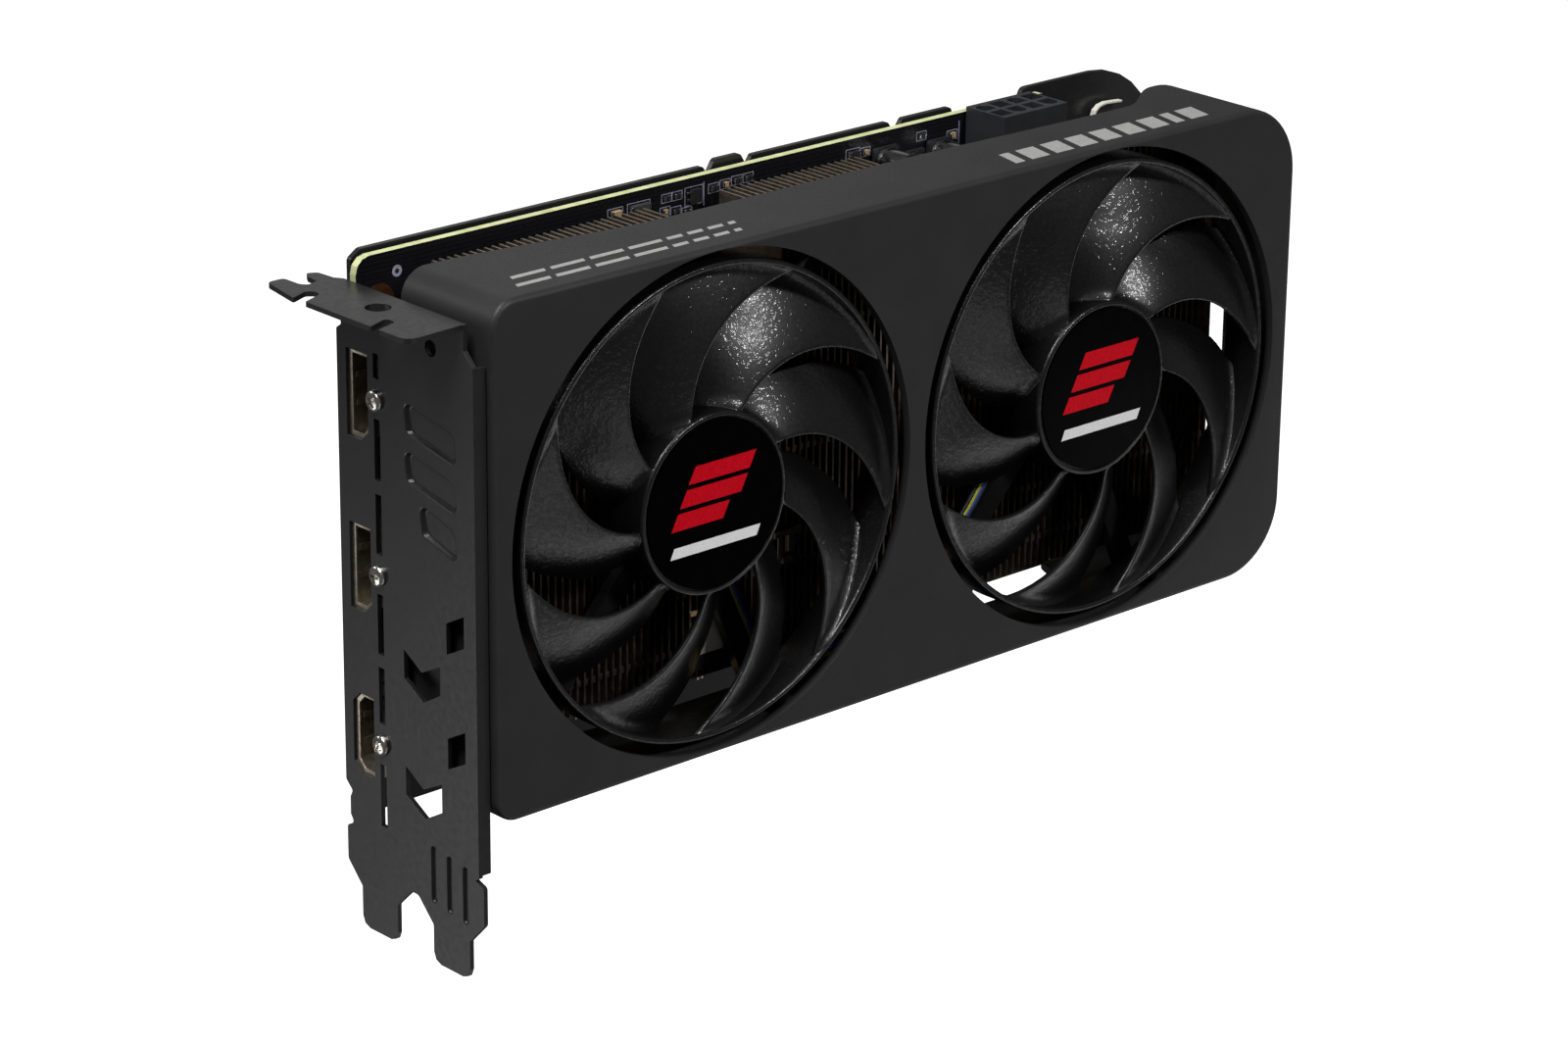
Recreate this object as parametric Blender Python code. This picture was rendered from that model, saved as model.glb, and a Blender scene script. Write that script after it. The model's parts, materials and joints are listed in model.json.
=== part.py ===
"""Two-slot, two-fan graphics card.

The frame is the card's own: +X runs from the bracket to the tail, +Y from the fan side to the rear
plate, +Z up to the edge that carries the power connector. The origin is the centre of the bracket
plate's outer face. All lengths below are millimetres; meshes are scaled to metres once, in piece().
"""

import math

import bmesh
import bpy
from mathutils import Matrix, Vector

METRES_PER_MM = 0.001
GAP = 0.3                       # clearance between pieces that touch on the real card

# Bracket: the standard two-slot, full-height plate.
PLATE_WIDTH = 38.74
PLATE_THICKNESS = 0.9
PLATE_TOP = 56.3                # top of the tab; the feet end 120.02 below it
TAB_DEPTH = 12.0

# Cooler cover. Depths are measured back from its front face.
FRONT = -PLATE_WIDTH / 2
COVER_LEFT = 3.0
COVER_RIGHT = 201.0
COVER_BOTTOM = -34.3
COVER_TOP = 60.3
COVER_FACE = 1.8
COVER_WALL = 1.6
COVER_DEPTH = 24.4
COVER_DEPTH_MIDDLE = 19.0
COVER_DEPTH_BELOW_TAIL = 28.5
COVER_DEPTH_EXHAUST = 15.5
EXHAUST_BOTTOM = -19.3
EXHAUST_TOP = 35.0

# Fans.
FAN_Z = 13.0
FAN_X = {"left": 53.4, "right": 150.2}
FAN_PHASE = {"left": -0.5, "right": 12.3}
OPENING_RADIUS = 46.5
BLADES = 9
RING_OUTER = 44.2
RING_INNER = 43.0
HUB_RADIUS = 16.9
LABEL_RADIUS = 15.65
RING_FRONT = 0.5
RING_BACK = 9.3
ARM_FRONT = 10.0
ARM_BACK = 12.6
ARM_ANGLES = (-132.0, -66.0, 48.0, 114.0)
ARM_REACH = {-132.0: 49.5, -66.0: 47.4, 48.0: 49.5, 114.0: 47.4}

# Printed circuit board and rear plate.
BOARD_FRONT = 15.23
BOARD_BACK = BOARD_FRONT + 1.6
BOARD_LEFT = 1.3
BOARD_RIGHT = 167.5
BOARD_BOTTOM = -42.5
EDGE_BOTTOM = -50.8
BACKPLATE_FRONT = 18.1
BACKPLATE_BACK = 19.2

# Cooler.
FIN_FRONT = FRONT + 14.0
FIN_TOP = 58.3
FIN_BOTTOM = -26.0
FIN_PITCH = 4.95                # one modelled fin stands for three real ones, 1.65 apart
FIN_THICKNESS = 1.0
FIN_DEEP_BACK = 11.3
FIN_SHALLOW_BACK = 6.2
PIPE_RADIUS = 2.4
PIPE_HEIGHTS = {"upper": 21.0, "middle": 13.0, "lower": 5.0}
PIPE_Y = 8.9
PIPE_TAIL_Y = 1.6
TAIL_LEFT = 121.5
TAIL_RIGHT = 194.0
TAIL_TOP = 55.5
TAIL_STEP = 42.0                # above this height the fins end in front of the power connector
TAIL_BACK = 8.2
TAIL_BACK_UPPER = 4.0
GPU_X = 78.0
GPU_Z = 8.0
COOLER_HOLE_SPACING = 53.5

# Video ports: opening centres on the plate, measured from its front edge and from the tab's top.
PORT_Y = 33.2
PORT_Z = {"upper": -19.75, "lower": -51.45, "wide": -82.85}
PORT_HEIGHT = {"upper": 15.9, "lower": 15.9, "wide": 15.3}
PORT_OPENING_WIDTH = 5.9
SCREW_Y = 28.0
SCREW_Z = (-19.4, -51.4, -83.1)


# ---------------------------------------------------------------------------------------------
# Mesh helpers, in millimetres


def clear_scene():
    """Removes every object that is in the file."""
    for old in list(bpy.data.objects):
        bpy.data.objects.remove(old, do_unlink=True)


def to_mesh(shape):
    """Turns a bmesh into a mesh whose faces point outwards."""
    bmesh.ops.recalc_face_normals(shape, faces=shape.faces)
    mesh = bpy.data.meshes.new("shape")
    shape.to_mesh(mesh)
    shape.free()
    return mesh


def fillet(corners, steps=6):
    """A closed outline through corners (u, v, radius), with an arc at each corner that has a radius."""
    outline = []
    count = len(corners)
    for index, (u, v, radius) in enumerate(corners):
        here = Vector((u, v))
        if radius <= 0:
            outline.append((u, v))
            continue
        before = (Vector(corners[index - 1][:2]) - here).normalized()
        after = (Vector(corners[(index + 1) % count][:2]) - here).normalized()
        half = before.angle(after) / 2
        centre = here + (before + after).normalized() * (radius / math.sin(half))
        start = here + before * (radius / math.tan(half)) - centre
        turn = math.pi - 2 * half
        if before.x * after.y - before.y * after.x > 0:
            turn = -turn
        for step in range(steps + 1):
            angle = turn * step / steps
            cosine, sine = math.cos(angle), math.sin(angle)
            outline.append((centre.x + start.x * cosine - start.y * sine,
                            centre.y + start.x * sine + start.y * cosine))
    return outline


def place(axis, u, v, along):
    """A point from outline coordinates: (y, z) across X, (x, z) across Y, (x, y) across Z."""
    return {"X": (along, u, v), "Y": (u, along, v), "Z": (u, v, along)}[axis]


def prism(outline, axis, low, high):
    """The outline pushed from low to high along an axis."""
    shape = bmesh.new()
    bottom = [shape.verts.new(place(axis, u, v, low)) for u, v in outline]
    top = [shape.verts.new(place(axis, u, v, high)) for u, v in outline]
    shape.faces.new(bottom)
    shape.faces.new(top[::-1])
    for index in range(len(outline)):
        after = (index + 1) % len(outline)
        shape.faces.new((bottom[index], top[index], top[after], bottom[after]))
    return to_mesh(shape)


def block(low, high):
    """A box between two corners."""
    outline = [(low[0], low[1]), (high[0], low[1]), (high[0], high[1]), (low[0], high[1])]
    return prism(outline, "Z", low[2], high[2])


def lathe(profile, segments, centre=(0.0, 0.0), axis="Y"):
    """A closed profile of (radius, along) turned round an axis through centre."""
    shape = bmesh.new()
    rings = []
    for radius, along in profile:
        if radius < 1e-6:
            rings.append([shape.verts.new(place(axis, centre[0], centre[1], along))])
            continue
        ring = []
        for index in range(segments):
            angle = 2 * math.pi * index / segments
            point = place(axis, centre[0] + radius * math.cos(angle),
                          centre[1] + radius * math.sin(angle), along)
            ring.append(shape.verts.new(point))
        rings.append(ring)
    for index, ring in enumerate(rings):
        following = rings[(index + 1) % len(rings)]
        for step in range(segments):
            after = (step + 1) % segments
            corners = []
            for vertex in (ring[step % len(ring)], ring[after % len(ring)],
                           following[after % len(following)], following[step % len(following)]):
                if vertex not in corners:
                    corners.append(vertex)
            if len(corners) > 2:
                shape.faces.new(corners)
    return to_mesh(shape)


def disc(radius, low, high, centre, segments=24, axis="Y"):
    """A plain cylinder along an axis."""
    return lathe([(0, low), (radius, low), (radius, high), (0, high)], segments, centre, axis)


def lattice(xs, ys, zs, filled):
    """A solid made of the cells that filled(x, y, z) keeps, given by the planes between cells."""
    shape = bmesh.new()
    corners = {}

    def corner(i, j, k):
        if (i, j, k) not in corners:
            corners[i, j, k] = shape.verts.new((xs[i], ys[j], zs[k]))
        return corners[i, j, k]

    def kept(i, j, k):
        if not (0 <= i < len(xs) - 1 and 0 <= j < len(ys) - 1 and 0 <= k < len(zs) - 1):
            return False
        return filled((xs[i] + xs[i + 1]) / 2, (ys[j] + ys[j + 1]) / 2, (zs[k] + zs[k + 1]) / 2)

    for i in range(len(xs) - 1):
        for j in range(len(ys) - 1):
            for k in range(len(zs) - 1):
                if not kept(i, j, k):
                    continue
                for side in (0, 1):
                    if not kept(i + 2 * side - 1, j, k):
                        shape.faces.new([corner(i + side, j + a, k + b)
                                         for a, b in ((0, 0), (1, 0), (1, 1), (0, 1))])
                    if not kept(i, j + 2 * side - 1, k):
                        shape.faces.new([corner(i + a, j + side, k + b)
                                         for a, b in ((0, 0), (1, 0), (1, 1), (0, 1))])
                    if not kept(i, j, k + 2 * side - 1):
                        shape.faces.new([corner(i + a, j + b, k + side)
                                         for a, b in ((0, 0), (1, 0), (1, 1), (0, 1))])
    bmesh.ops.dissolve_limit(shape, angle_limit=math.radians(1), verts=shape.verts, edges=shape.edges)
    return to_mesh(shape)


def joined(meshes):
    """Several separate closed shapes in one mesh, for use as one cutter."""
    shape = bmesh.new()
    for mesh in meshes:
        shape.from_mesh(mesh)
    return to_mesh(shape)


def boolean(base, tool, operation):
    """The Boolean of two meshes, as a new mesh."""
    base_object = bpy.data.objects.new("base", base)
    tool_object = bpy.data.objects.new("tool", tool)
    for item in (base_object, tool_object):
        bpy.context.scene.collection.objects.link(item)
    modifier = base_object.modifiers.new("boolean", "BOOLEAN")
    modifier.operation = operation
    modifier.solver = "EXACT"
    modifier.object = tool_object
    graph = bpy.context.evaluated_depsgraph_get()
    result = bpy.data.meshes.new_from_object(base_object.evaluated_get(graph))
    for item in (base_object, tool_object):
        bpy.data.objects.remove(item, do_unlink=True)
    return result


def cut(base, *tools):
    """The base less the tools, which do not touch each other."""
    return boolean(base, joined(tools), "DIFFERENCE")


def fused(base, *tools):
    """The base and each tool as one body."""
    for tool in tools:
        base = boolean(base, tool, "UNION")
    return base


def sweep(points, radius, sides=8):
    """A round tube with flat ends along a list of points."""
    curve = bpy.data.curves.new("sweep", "CURVE")
    curve.dimensions = "3D"
    curve.bevel_depth = radius
    curve.bevel_resolution = sides // 4
    curve.use_fill_caps = True
    spline = curve.splines.new("POLY")
    spline.points.add(len(points) - 1)
    for target, point in zip(spline.points, points):
        target.co = (*point, 1.0)
    holder = bpy.data.objects.new("sweep", curve)
    bpy.context.scene.collection.objects.link(holder)
    graph = bpy.context.evaluated_depsgraph_get()
    tube = bpy.data.meshes.new_from_object(holder.evaluated_get(graph))
    bpy.data.objects.remove(holder, do_unlink=True)
    return tube


def smooth_route(route, steps):
    """Points along a Catmull-Rom curve through a route, with steps points for each span."""
    ends = [route[0]] + list(route) + [route[-1]]
    places = [Vector(point) for point in ends]
    points = []
    for a, b, c, d in zip(places, places[1:], places[2:], places[3:]):
        for step in range(steps):
            t = step / steps
            points.append(((2 * b) + (c - a) * t + (2 * a - 5 * b + 4 * c - d) * t * t
                           + (3 * b - a - 3 * c + d) * t ** 3) / 2)
    points.append(places[-2])
    return points


MATERIALS = {}


def material(name, colour, roughness, metallic=0.0, coat=0.0):
    """A Principled BSDF material, made once for each name."""
    if name not in MATERIALS:
        made = bpy.data.materials.new(name)
        made.use_nodes = True
        shader = made.node_tree.nodes["Principled BSDF"]
        shader.inputs["Base Color"].default_value = (*colour, 1.0)
        shader.inputs["Roughness"].default_value = roughness
        shader.inputs["Metallic"].default_value = metallic
        shader.inputs["Coat Weight"].default_value = coat
        MATERIALS[name] = made
    return MATERIALS[name]


def cover_plastic():
    return material("cover_plastic", (0.022, 0.022, 0.023), 0.55)


def fan_plastic():
    return material("fan_plastic", (0.012, 0.012, 0.013), 0.32)


def arm_plastic():
    return material("arm_plastic", (0.015, 0.015, 0.016), 0.5)


def black_steel():
    return material("black_steel", (0.018, 0.018, 0.019), 0.45, 0.3)


def board_laminate():
    return material("board_laminate", (0.012, 0.012, 0.013), 0.35)


def fin_aluminium():
    return material("fin_aluminium", (0.55, 0.5, 0.44), 0.35, 1.0)


def copper():
    return material("copper", (0.72, 0.36, 0.2), 0.3, 1.0)


def plated_metal():
    return material("plated_metal", (0.62, 0.6, 0.56), 0.25, 1.0)


def chip_resin():
    return material("chip_resin", (0.02, 0.02, 0.02), 0.5)


def silicon():
    return material("silicon", (0.12, 0.13, 0.15), 0.12, 0.6)


def pad_silicone():
    return material("pad_silicone", (0.35, 0.37, 0.4), 0.8)


def ferrite():
    return material("ferrite", (0.06, 0.06, 0.065), 0.6)


def can_aluminium():
    return material("can_aluminium", (0.7, 0.7, 0.7), 0.25, 1.0)


def connector_plastic():
    return material("connector_plastic", (0.014, 0.014, 0.015), 0.42)


def label_film():
    return material("label_film", (0.004, 0.004, 0.005), 0.08, 0.0, 0.5)


def magnet_rubber():
    return material("magnet_rubber", (0.03, 0.028, 0.027), 0.6)


def bronze():
    return material("bronze", (0.55, 0.38, 0.2), 0.35, 1.0)


def winding_enamel():
    return material("winding_enamel", (0.5, 0.2, 0.08), 0.3, 0.8)


def wire_jacket():
    return material("wire_jacket", (0.02, 0.025, 0.08), 0.4)


def piece(name, mesh, finish, origin=(0.0, 0.0, 0.0)):
    """One named object: a mesh in millimetres, set down in metres with its origin at a given point."""
    mesh.transform(Matrix.Scale(METRES_PER_MM, 4) @ Matrix.Translation(-Vector(origin)))
    mesh.materials.clear()
    mesh.materials.append(finish)
    mesh.name = name
    mesh.shade_smooth()
    mesh.set_sharp_from_angle(angle=math.radians(30))
    made = bpy.data.objects.new(name, mesh)
    made.location = Vector(origin) * METRES_PER_MM
    bpy.context.scene.collection.objects.link(made)
    return made


# ---------------------------------------------------------------------------------------------
# Bracket and video ports


def on_plate(y_from_front, z_from_top):
    """A point of the plate from its front edge and from the top of its tab."""
    return (y_from_front - PLATE_WIDTH / 2, z_from_top + PLATE_TOP)


def plate_outline(corners, steps=2):
    """A plate outline from corners (y from front, z from top, radius)."""
    return fillet([(*on_plate(y, z), radius) for y, z, radius in corners], steps)


def bracket():
    """The slot plate: two feet, a side flange, and a tab with its screw fork."""
    plate = prism(plate_outline([
        (3.9, 0.0, 0), (3.9, -4.6, 0), (1.4, -7.0, 0), (1.4, -99.8, 0), (2.4, -100.4, 0),
        (0.1, -101.2, 0.6), (0.1, -108.4, 1.0), (4.12, -112.56, 0), (4.12, -120.02, 2.0),
        (14.3, -120.02, 2.0), (14.3, -112.9, 0.6), (18.5, -108.65, 1.2), (20.4, -108.65, 1.2),
        (24.44, -112.6, 0.6), (24.44, -120.02, 2.0), (34.62, -120.02, 2.0), (34.62, -112.4, 0),
        (38.6, -108.3, 1.0), (38.6, -101.8, 0.6), (36.6, -100.8, 0.6), (37.6, -99.4, 0),
        (37.6, -96.0, 0), (36.9, -94.7, 0.5), (PLATE_WIDTH, -93.0, 0.5), (PLATE_WIDTH, -8.9, 0.5),
        (37.2, -7.9, 0.5), (38.1, -6.4, 0), (37.4, 0.0, 0),
    ]), "X", 0.0, PLATE_THICKNESS)
    tab_edge = [(PLATE_THICKNESS, 4.2, 0), (PLATE_THICKNESS, 37.4, 0), (-0.1, 38.9, 0), (-0.4, 43.0, 0.8),
                (-2.2, 43.9, 0.5), (-3.3, 42.0, 0), (-3.5, 39.2, 0.8), (-6.1, 38.3, 1.0),
                (-6.8, 40.0, 0), (-6.9, 44.1, 0.8), (-10.4, 44.1, 1.2), (-12.3, 34.1, 0.3),
                (-8.6, 35.7, 0.8), (-7.2, 34.6, 0.8), (-7.9, 32.8, 0.5), (-TAB_DEPTH, 31.2, 0.4),
                (-TAB_DEPTH, 13.3, 0.4), (-7.4, 15.1, 0.6), (-7.4, 12.6, 0.6), (-TAB_DEPTH, 11.2, 0.4),
                (-TAB_DEPTH, 3.5, 2.2)]
    tab = prism(fillet([(x, y - PLATE_WIDTH / 2, r) for x, y, r in tab_edge], 3),
                "Z", PLATE_TOP - 0.95, PLATE_TOP)
    flange_low = (0.0, 1.4 - PLATE_WIDTH / 2, PLATE_TOP - 99.4)
    flange_high = (2.7, 2.3 - PLATE_WIDTH / 2, PLATE_TOP - 7.2)
    body = fused(plate, tab, block(flange_low, flange_high))

    through = (-1.0, PLATE_THICKNESS + 0.4)
    holes = [prism(port_outline(name, PORT_OPENING_WIDTH, 0.0), "X", *through) for name in PORT_Z]
    for top, bottom in ((-11.0, -15.5), (-22.8, -33.9), (-36.5, -47.5),
                        (-54.9, -66.1), (-68.6, -79.1), (-86.9, -98.7)):
        holes.append(prism(plate_outline([(27.0, top, 0), (27.0, bottom, 0), (28.6, bottom, 0),
                                          (28.6, top, 0)]), "X", *through))
    for top in (-54.8, -76.1):
        holes.append(prism(plate_outline([(9.5, top, 0), (4.7, top + 2.6, 0), (4.7, top - 3.2, 0),
                                          (9.5, top - 5.7, 0)]), "X", *through))
    for top in (-63.1, -85.0):
        holes.append(prism(plate_outline([(21.4, top, 0), (16.5, top - 2.9, 0), (11.4, top - 0.3, 0),
                                          (11.4, top - 5.6, 0), (16.1, top - 8.3, 0),
                                          (21.4, top - 5.4, 0)]), "X", *through))
    holes.append(disc(1.5, *through, on_plate(12.7, -6.2), 16, "X"))
    for z in SCREW_Z:
        holes.append(disc(1.5, *through, on_plate(SCREW_Y, z), 12, "X"))
    holes.append(disc(2.3, PLATE_TOP - 2, PLATE_TOP + 1, (-4.7, 20.7 - PLATE_WIDTH / 2), 16, "Z"))
    return piece("bracket", cut(body, *holes), black_steel())


def port_outline(name, width, grow):
    """The outline of a video port, centred on its opening: one chamfer, or two on the wide port."""
    y, z = on_plate(PORT_Y, PORT_Z[name])
    half_y = width / 2 + grow
    half_z = PORT_HEIGHT[name] / 2 + grow
    slope = 1.9
    corners = [(y - half_y, z - half_z), (y - half_y, z + half_z)]
    if name == "wide":
        corners += [(y + half_y - slope, z + half_z), (y + half_y, z + half_z - slope),
                    (y + half_y, z - half_z + slope), (y + half_y - slope, z - half_z)]
    else:
        corners += [(y + half_y, z + half_z), (y + half_y, z - half_z)]
        corners[0] = (y - half_y, z - half_z + slope)
        corners.append((y - half_y + slope, z - half_z))
    return corners


def video_ports():
    """Three sockets behind the plate: a plated shell and a contact tongue each."""
    front = PLATE_THICKNESS + GAP
    depth = 13.0
    for name in PORT_Z:
        shell = prism(port_outline(name, PORT_OPENING_WIDTH, 0.1), "X", front, front + depth)
        socket = prism(port_outline(name, PORT_OPENING_WIDTH, -0.4), "X", front - 1, front + depth - 1.2)
        piece("video_port_" + name, cut(shell, socket), plated_metal())
        y, z = on_plate(PORT_Y, PORT_Z[name])
        reach = PORT_HEIGHT[name] / 2 - 2.6
        tongue = block((front + 5.4, y - 0.5, z - reach), (front + depth - 1.2 - GAP, y + 0.5, z + reach))
        piece("port_tongue_" + name, tongue, connector_plastic())
    for number, z in enumerate(SCREW_Z, 1):
        head = [(0, -1.45), (0.9, -1.4), (1.6, -1.1), (1.9, -GAP), (1.2, -GAP), (1.2, 4.5), (0, 4.5)]
        piece("port_screw_%d" % number, lathe(head, 10, on_plate(SCREW_Y, z), "X"), plated_metal())


# ---------------------------------------------------------------------------------------------
# Cooler cover


def cover_outline(inset):
    """The cover's outline seen from the front, moved in by inset."""
    return fillet([(COVER_LEFT + inset, COVER_BOTTOM + inset, 5.0 - inset),
                   (COVER_RIGHT - inset, COVER_BOTTOM + inset, 14.2 - inset),
                   (COVER_RIGHT - inset, COVER_TOP - inset, 14.2 - inset),
                   (COVER_LEFT + inset, COVER_TOP - inset, 5.2 - inset)], 5)


def cover_depth(x, wall):
    """How deep the cover's top or bottom wall reaches at x: least in the middle, most at the tail."""
    def ease(t):
        t = min(1.0, max(0.0, t))
        return t * t * (3 - 2 * t)

    start, length, taper, tail_depth = {"top": (172.0, 14.0, 1.6, COVER_DEPTH),
                                        "bottom": (159.0, 5.0, 0.0, COVER_DEPTH_BELOW_TAIL)}[wall]
    middle = COVER_DEPTH_MIDDLE - taper * ease((x - 110.0) / 60.0)
    return (middle + (COVER_DEPTH - COVER_DEPTH_MIDDLE) * (1 - ease((x - 8.0) / 50.0))
            + (tail_depth - middle) * ease((x - start) / length))


def arm_ends(side):
    """Where the four arms of a fan frame end, from the fan's axis out."""
    for angle in ARM_ANGLES:
        reach = ARM_REACH[angle] - 0.6
        yield (FAN_X[side] + reach * math.cos(math.radians(angle)),
               FAN_Z + reach * math.sin(math.radians(angle)))


def cooler_cover():
    """A shell with two round openings, side walls cut away at the tail, and posts for the fans."""
    outer = prism(cover_outline(0.0), "Y", FRONT, FRONT + COVER_DEPTH_BELOW_TAIL)
    inner = prism(cover_outline(COVER_WALL), "Y", FRONT + COVER_FACE, FRONT + COVER_DEPTH_BELOW_TAIL + 5)
    shell = cut(outer, inner)
    openings = [disc(OPENING_RADIUS, FRONT - 1, FRONT + COVER_FACE + 1, (x, FAN_Z), 72)
                for x in FAN_X.values()]
    shell = cut(shell, *openings)
    for wall, low, high in (("top", FAN_Z, COVER_TOP + 5), ("bottom", COVER_BOTTOM - 5, FAN_Z)):
        stations = [COVER_LEFT - 2] + [8.0 + 5.0 * k for k in range(11)] + [110.0 + 8.0 * k for k in range(6)]
        stations += [159.0 + 1.0 * k for k in range(28)] + [COVER_RIGHT + 2]
        behind = [(x, FRONT + cover_depth(x, wall)) for x in stations]
        behind += [(COVER_RIGHT + 2, FRONT + 40), (COVER_LEFT - 2, FRONT + 40)]
        shell = cut(shell, prism(behind, "Z", low, high))
    exhaust = block((COVER_RIGHT - 6, FRONT + COVER_DEPTH_EXHAUST, EXHAUST_BOTTOM),
                    (COVER_RIGHT + 3, FRONT + 40, EXHAUST_TOP))
    shell = cut(shell, exhaust)
    for side in FAN_X:
        for end in arm_ends(side):
            shell = fused(shell, disc(2.2, FRONT + COVER_FACE - 0.6, FRONT + ARM_FRONT - GAP, end, 8))
    return piece("cooler_cover", shell, cover_plastic())


# ---------------------------------------------------------------------------------------------
# Fans


def blade_lead(radius):
    """Angle of a blade's leading edge at a radius, in degrees, before the fan's own phase."""
    beyond = radius - 30.0
    return 10.1 - 1.59 * beyond - 0.026 * beyond * beyond


def blade(number, phase, rows=6, columns=4):
    """One swept blade as a closed sheet: the leading edge in front, the trailing edge behind."""
    thickness = 1.1
    shape = bmesh.new()
    front, back = [], []
    for row in range(rows):
        across = row / (rows - 1)
        radius = 16.1 + (RING_INNER + 0.6 - 16.1) * across
        chord = 27.5 + 0.6 * max(0.0, radius - 31.0)
        for column in range(columns):
            along = column / (columns - 1)
            angle = math.radians(blade_lead(radius) + phase + 360.0 * number / BLADES + chord * along)
            depth = 1.4 - 0.4 * across + 6.5 * (0.7 * along + 0.3 * along * along)
            x, z = radius * math.cos(angle), radius * math.sin(angle)
            front.append(shape.verts.new((x, FRONT + depth, z)))
            back.append(shape.verts.new((x, FRONT + depth + thickness, z)))
    for sheet in (front, back):
        for row in range(rows - 1):
            for column in range(columns - 1):
                corner = row * columns + column
                shape.faces.new((sheet[corner], sheet[corner + 1],
                                 sheet[corner + columns + 1], sheet[corner + columns]))
    rim = list(range(columns))
    rim += [row * columns + columns - 1 for row in range(1, rows)]
    rim += [(rows - 1) * columns + column for column in range(columns - 2, -1, -1)]
    rim += [row * columns for row in range(rows - 2, 0, -1)]
    for index, corner in enumerate(rim):
        after = rim[(index + 1) % len(rim)]
        shape.faces.new((front[corner], front[after], back[after], back[corner]))
    return to_mesh(shape)


def fan_rotor(side):
    """Hub cup, nine blades and the ring that joins their tips, turning round the fan's axis."""
    hub = lathe([(0, FRONT + 1.2), (LABEL_RADIUS + GAP, FRONT + 1.2), (LABEL_RADIUS + GAP, FRONT + 0.75),
                 (16.5, FRONT + 0.75), (HUB_RADIUS, FRONT + 1.3), (HUB_RADIUS, FRONT + RING_BACK),
                 (15.2, FRONT + RING_BACK), (15.2, FRONT + 2.4), (0, FRONT + 2.4)], 36)
    ring = lathe([(RING_INNER, FRONT + RING_FRONT), (RING_OUTER, FRONT + RING_FRONT),
                  (RING_OUTER, FRONT + RING_BACK), (RING_INNER, FRONT + RING_BACK)], 64)
    rotor = joined([blade(number, FAN_PHASE[side]) for number in range(BLADES)])
    rotor = fused(rotor, ring, hub)
    rotor.transform(Matrix.Translation((FAN_X[side], 0, FAN_Z)))
    piece("fan_rotor_" + side, rotor, fan_plastic(), (FAN_X[side], FRONT + 5, FAN_Z))


def fan_label(side, axis, origin):
    """The thin round film in the hub's recess."""
    piece("fan_label_" + side, disc(LABEL_RADIUS, FRONT + 0.7, FRONT + 0.9, axis, 36), label_film(), origin)


def fan_motor(side, axis, origin):
    """Magnet ring and shaft, which turn, and the stator and bearing, which stay."""
    magnet = lathe([(13.4, FRONT + 3.2), (14.9, FRONT + 3.2), (14.9, FRONT + 9.0), (13.4, FRONT + 9.0)],
                   20, axis)
    piece("fan_magnet_" + side, magnet, magnet_rubber(), origin)
    piece("fan_shaft_" + side, disc(1.5, FRONT + 2.7, FRONT + 11.0, axis, 12), plated_metal(), origin)
    stator = lathe([(4.8, FRONT + 4.2), (11.8, FRONT + 4.2), (11.8, FRONT + 9.6), (4.8, FRONT + 9.6)],
                   16, axis)
    piece("fan_stator_" + side, stator, winding_enamel())
    sleeve = lathe([(1.8, FRONT + 3.4), (4.4, FRONT + 3.4), (4.4, FRONT + 11.2), (1.8, FRONT + 11.2)],
                   12, axis)
    piece("fan_bearing_" + side, sleeve, bronze())


def fan_frame(side):
    """The motor's seat and its four arms, which end on the cover's posts."""
    x, z = FAN_X[side], FAN_Z
    seat = lathe([(0, FRONT + 11.5), (15.6, FRONT + 11.5), (15.6, FRONT + ARM_FRONT),
                  (17.2, FRONT + ARM_FRONT), (17.2, FRONT + ARM_BACK), (0, FRONT + ARM_BACK)], 24, (x, z))
    arms = []
    for angle in ARM_ANGLES:
        direction = Vector((math.cos(math.radians(angle)), math.sin(math.radians(angle))))
        side_step = Vector((-direction.y, direction.x)) * 2.1
        start = Vector((x, z)) + direction * 16.4
        end = Vector((x, z)) + direction * ARM_REACH[angle]
        outline = [start - side_step, end - side_step, end + side_step, start + side_step]
        arms.append(prism([tuple(point) for point in outline], "Y", FRONT + ARM_FRONT + 0.2,
                          FRONT + ARM_BACK - 0.2))
    piece("fan_frame_" + side, fused(seat, *arms), arm_plastic())


FAN_LEADS = {
    "left": [(66.0, -7.2, -6.5), (70.5, -7.9, -17.0), (75.5, -7.4, -26.5), (88.0, -6.0, -29.4),
             (104.0, -2.0, -29.6), (111.0, 3.0, -29.6), (113.0, 8.0, -29.6), (113.5, 9.6, -29.6)],
    "right": [(134.0, -7.6, 1.5), (126.5, -8.0, -8.0), (119.0, -7.0, -16.0), (117.6, -2.0, -18.5),
              (117.6, 4.0, -18.6), (117.6, 9.6, -18.6)],
}


def fan_lead(side):
    """The fan's lead, from its frame down to a header on the board."""
    piece("fan_lead_" + side, sweep(smooth_route(FAN_LEADS[side], 3), 1.1), wire_jacket())
    x, _, z = FAN_LEADS[side][-1]
    header = block((x - 3.0, 9.6 + GAP, z - 2.4), (x + 3.0, BOARD_FRONT - GAP, z + 2.4))
    piece("fan_header_" + side, header, connector_plastic())


# ---------------------------------------------------------------------------------------------
# Board and rear plate


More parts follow.
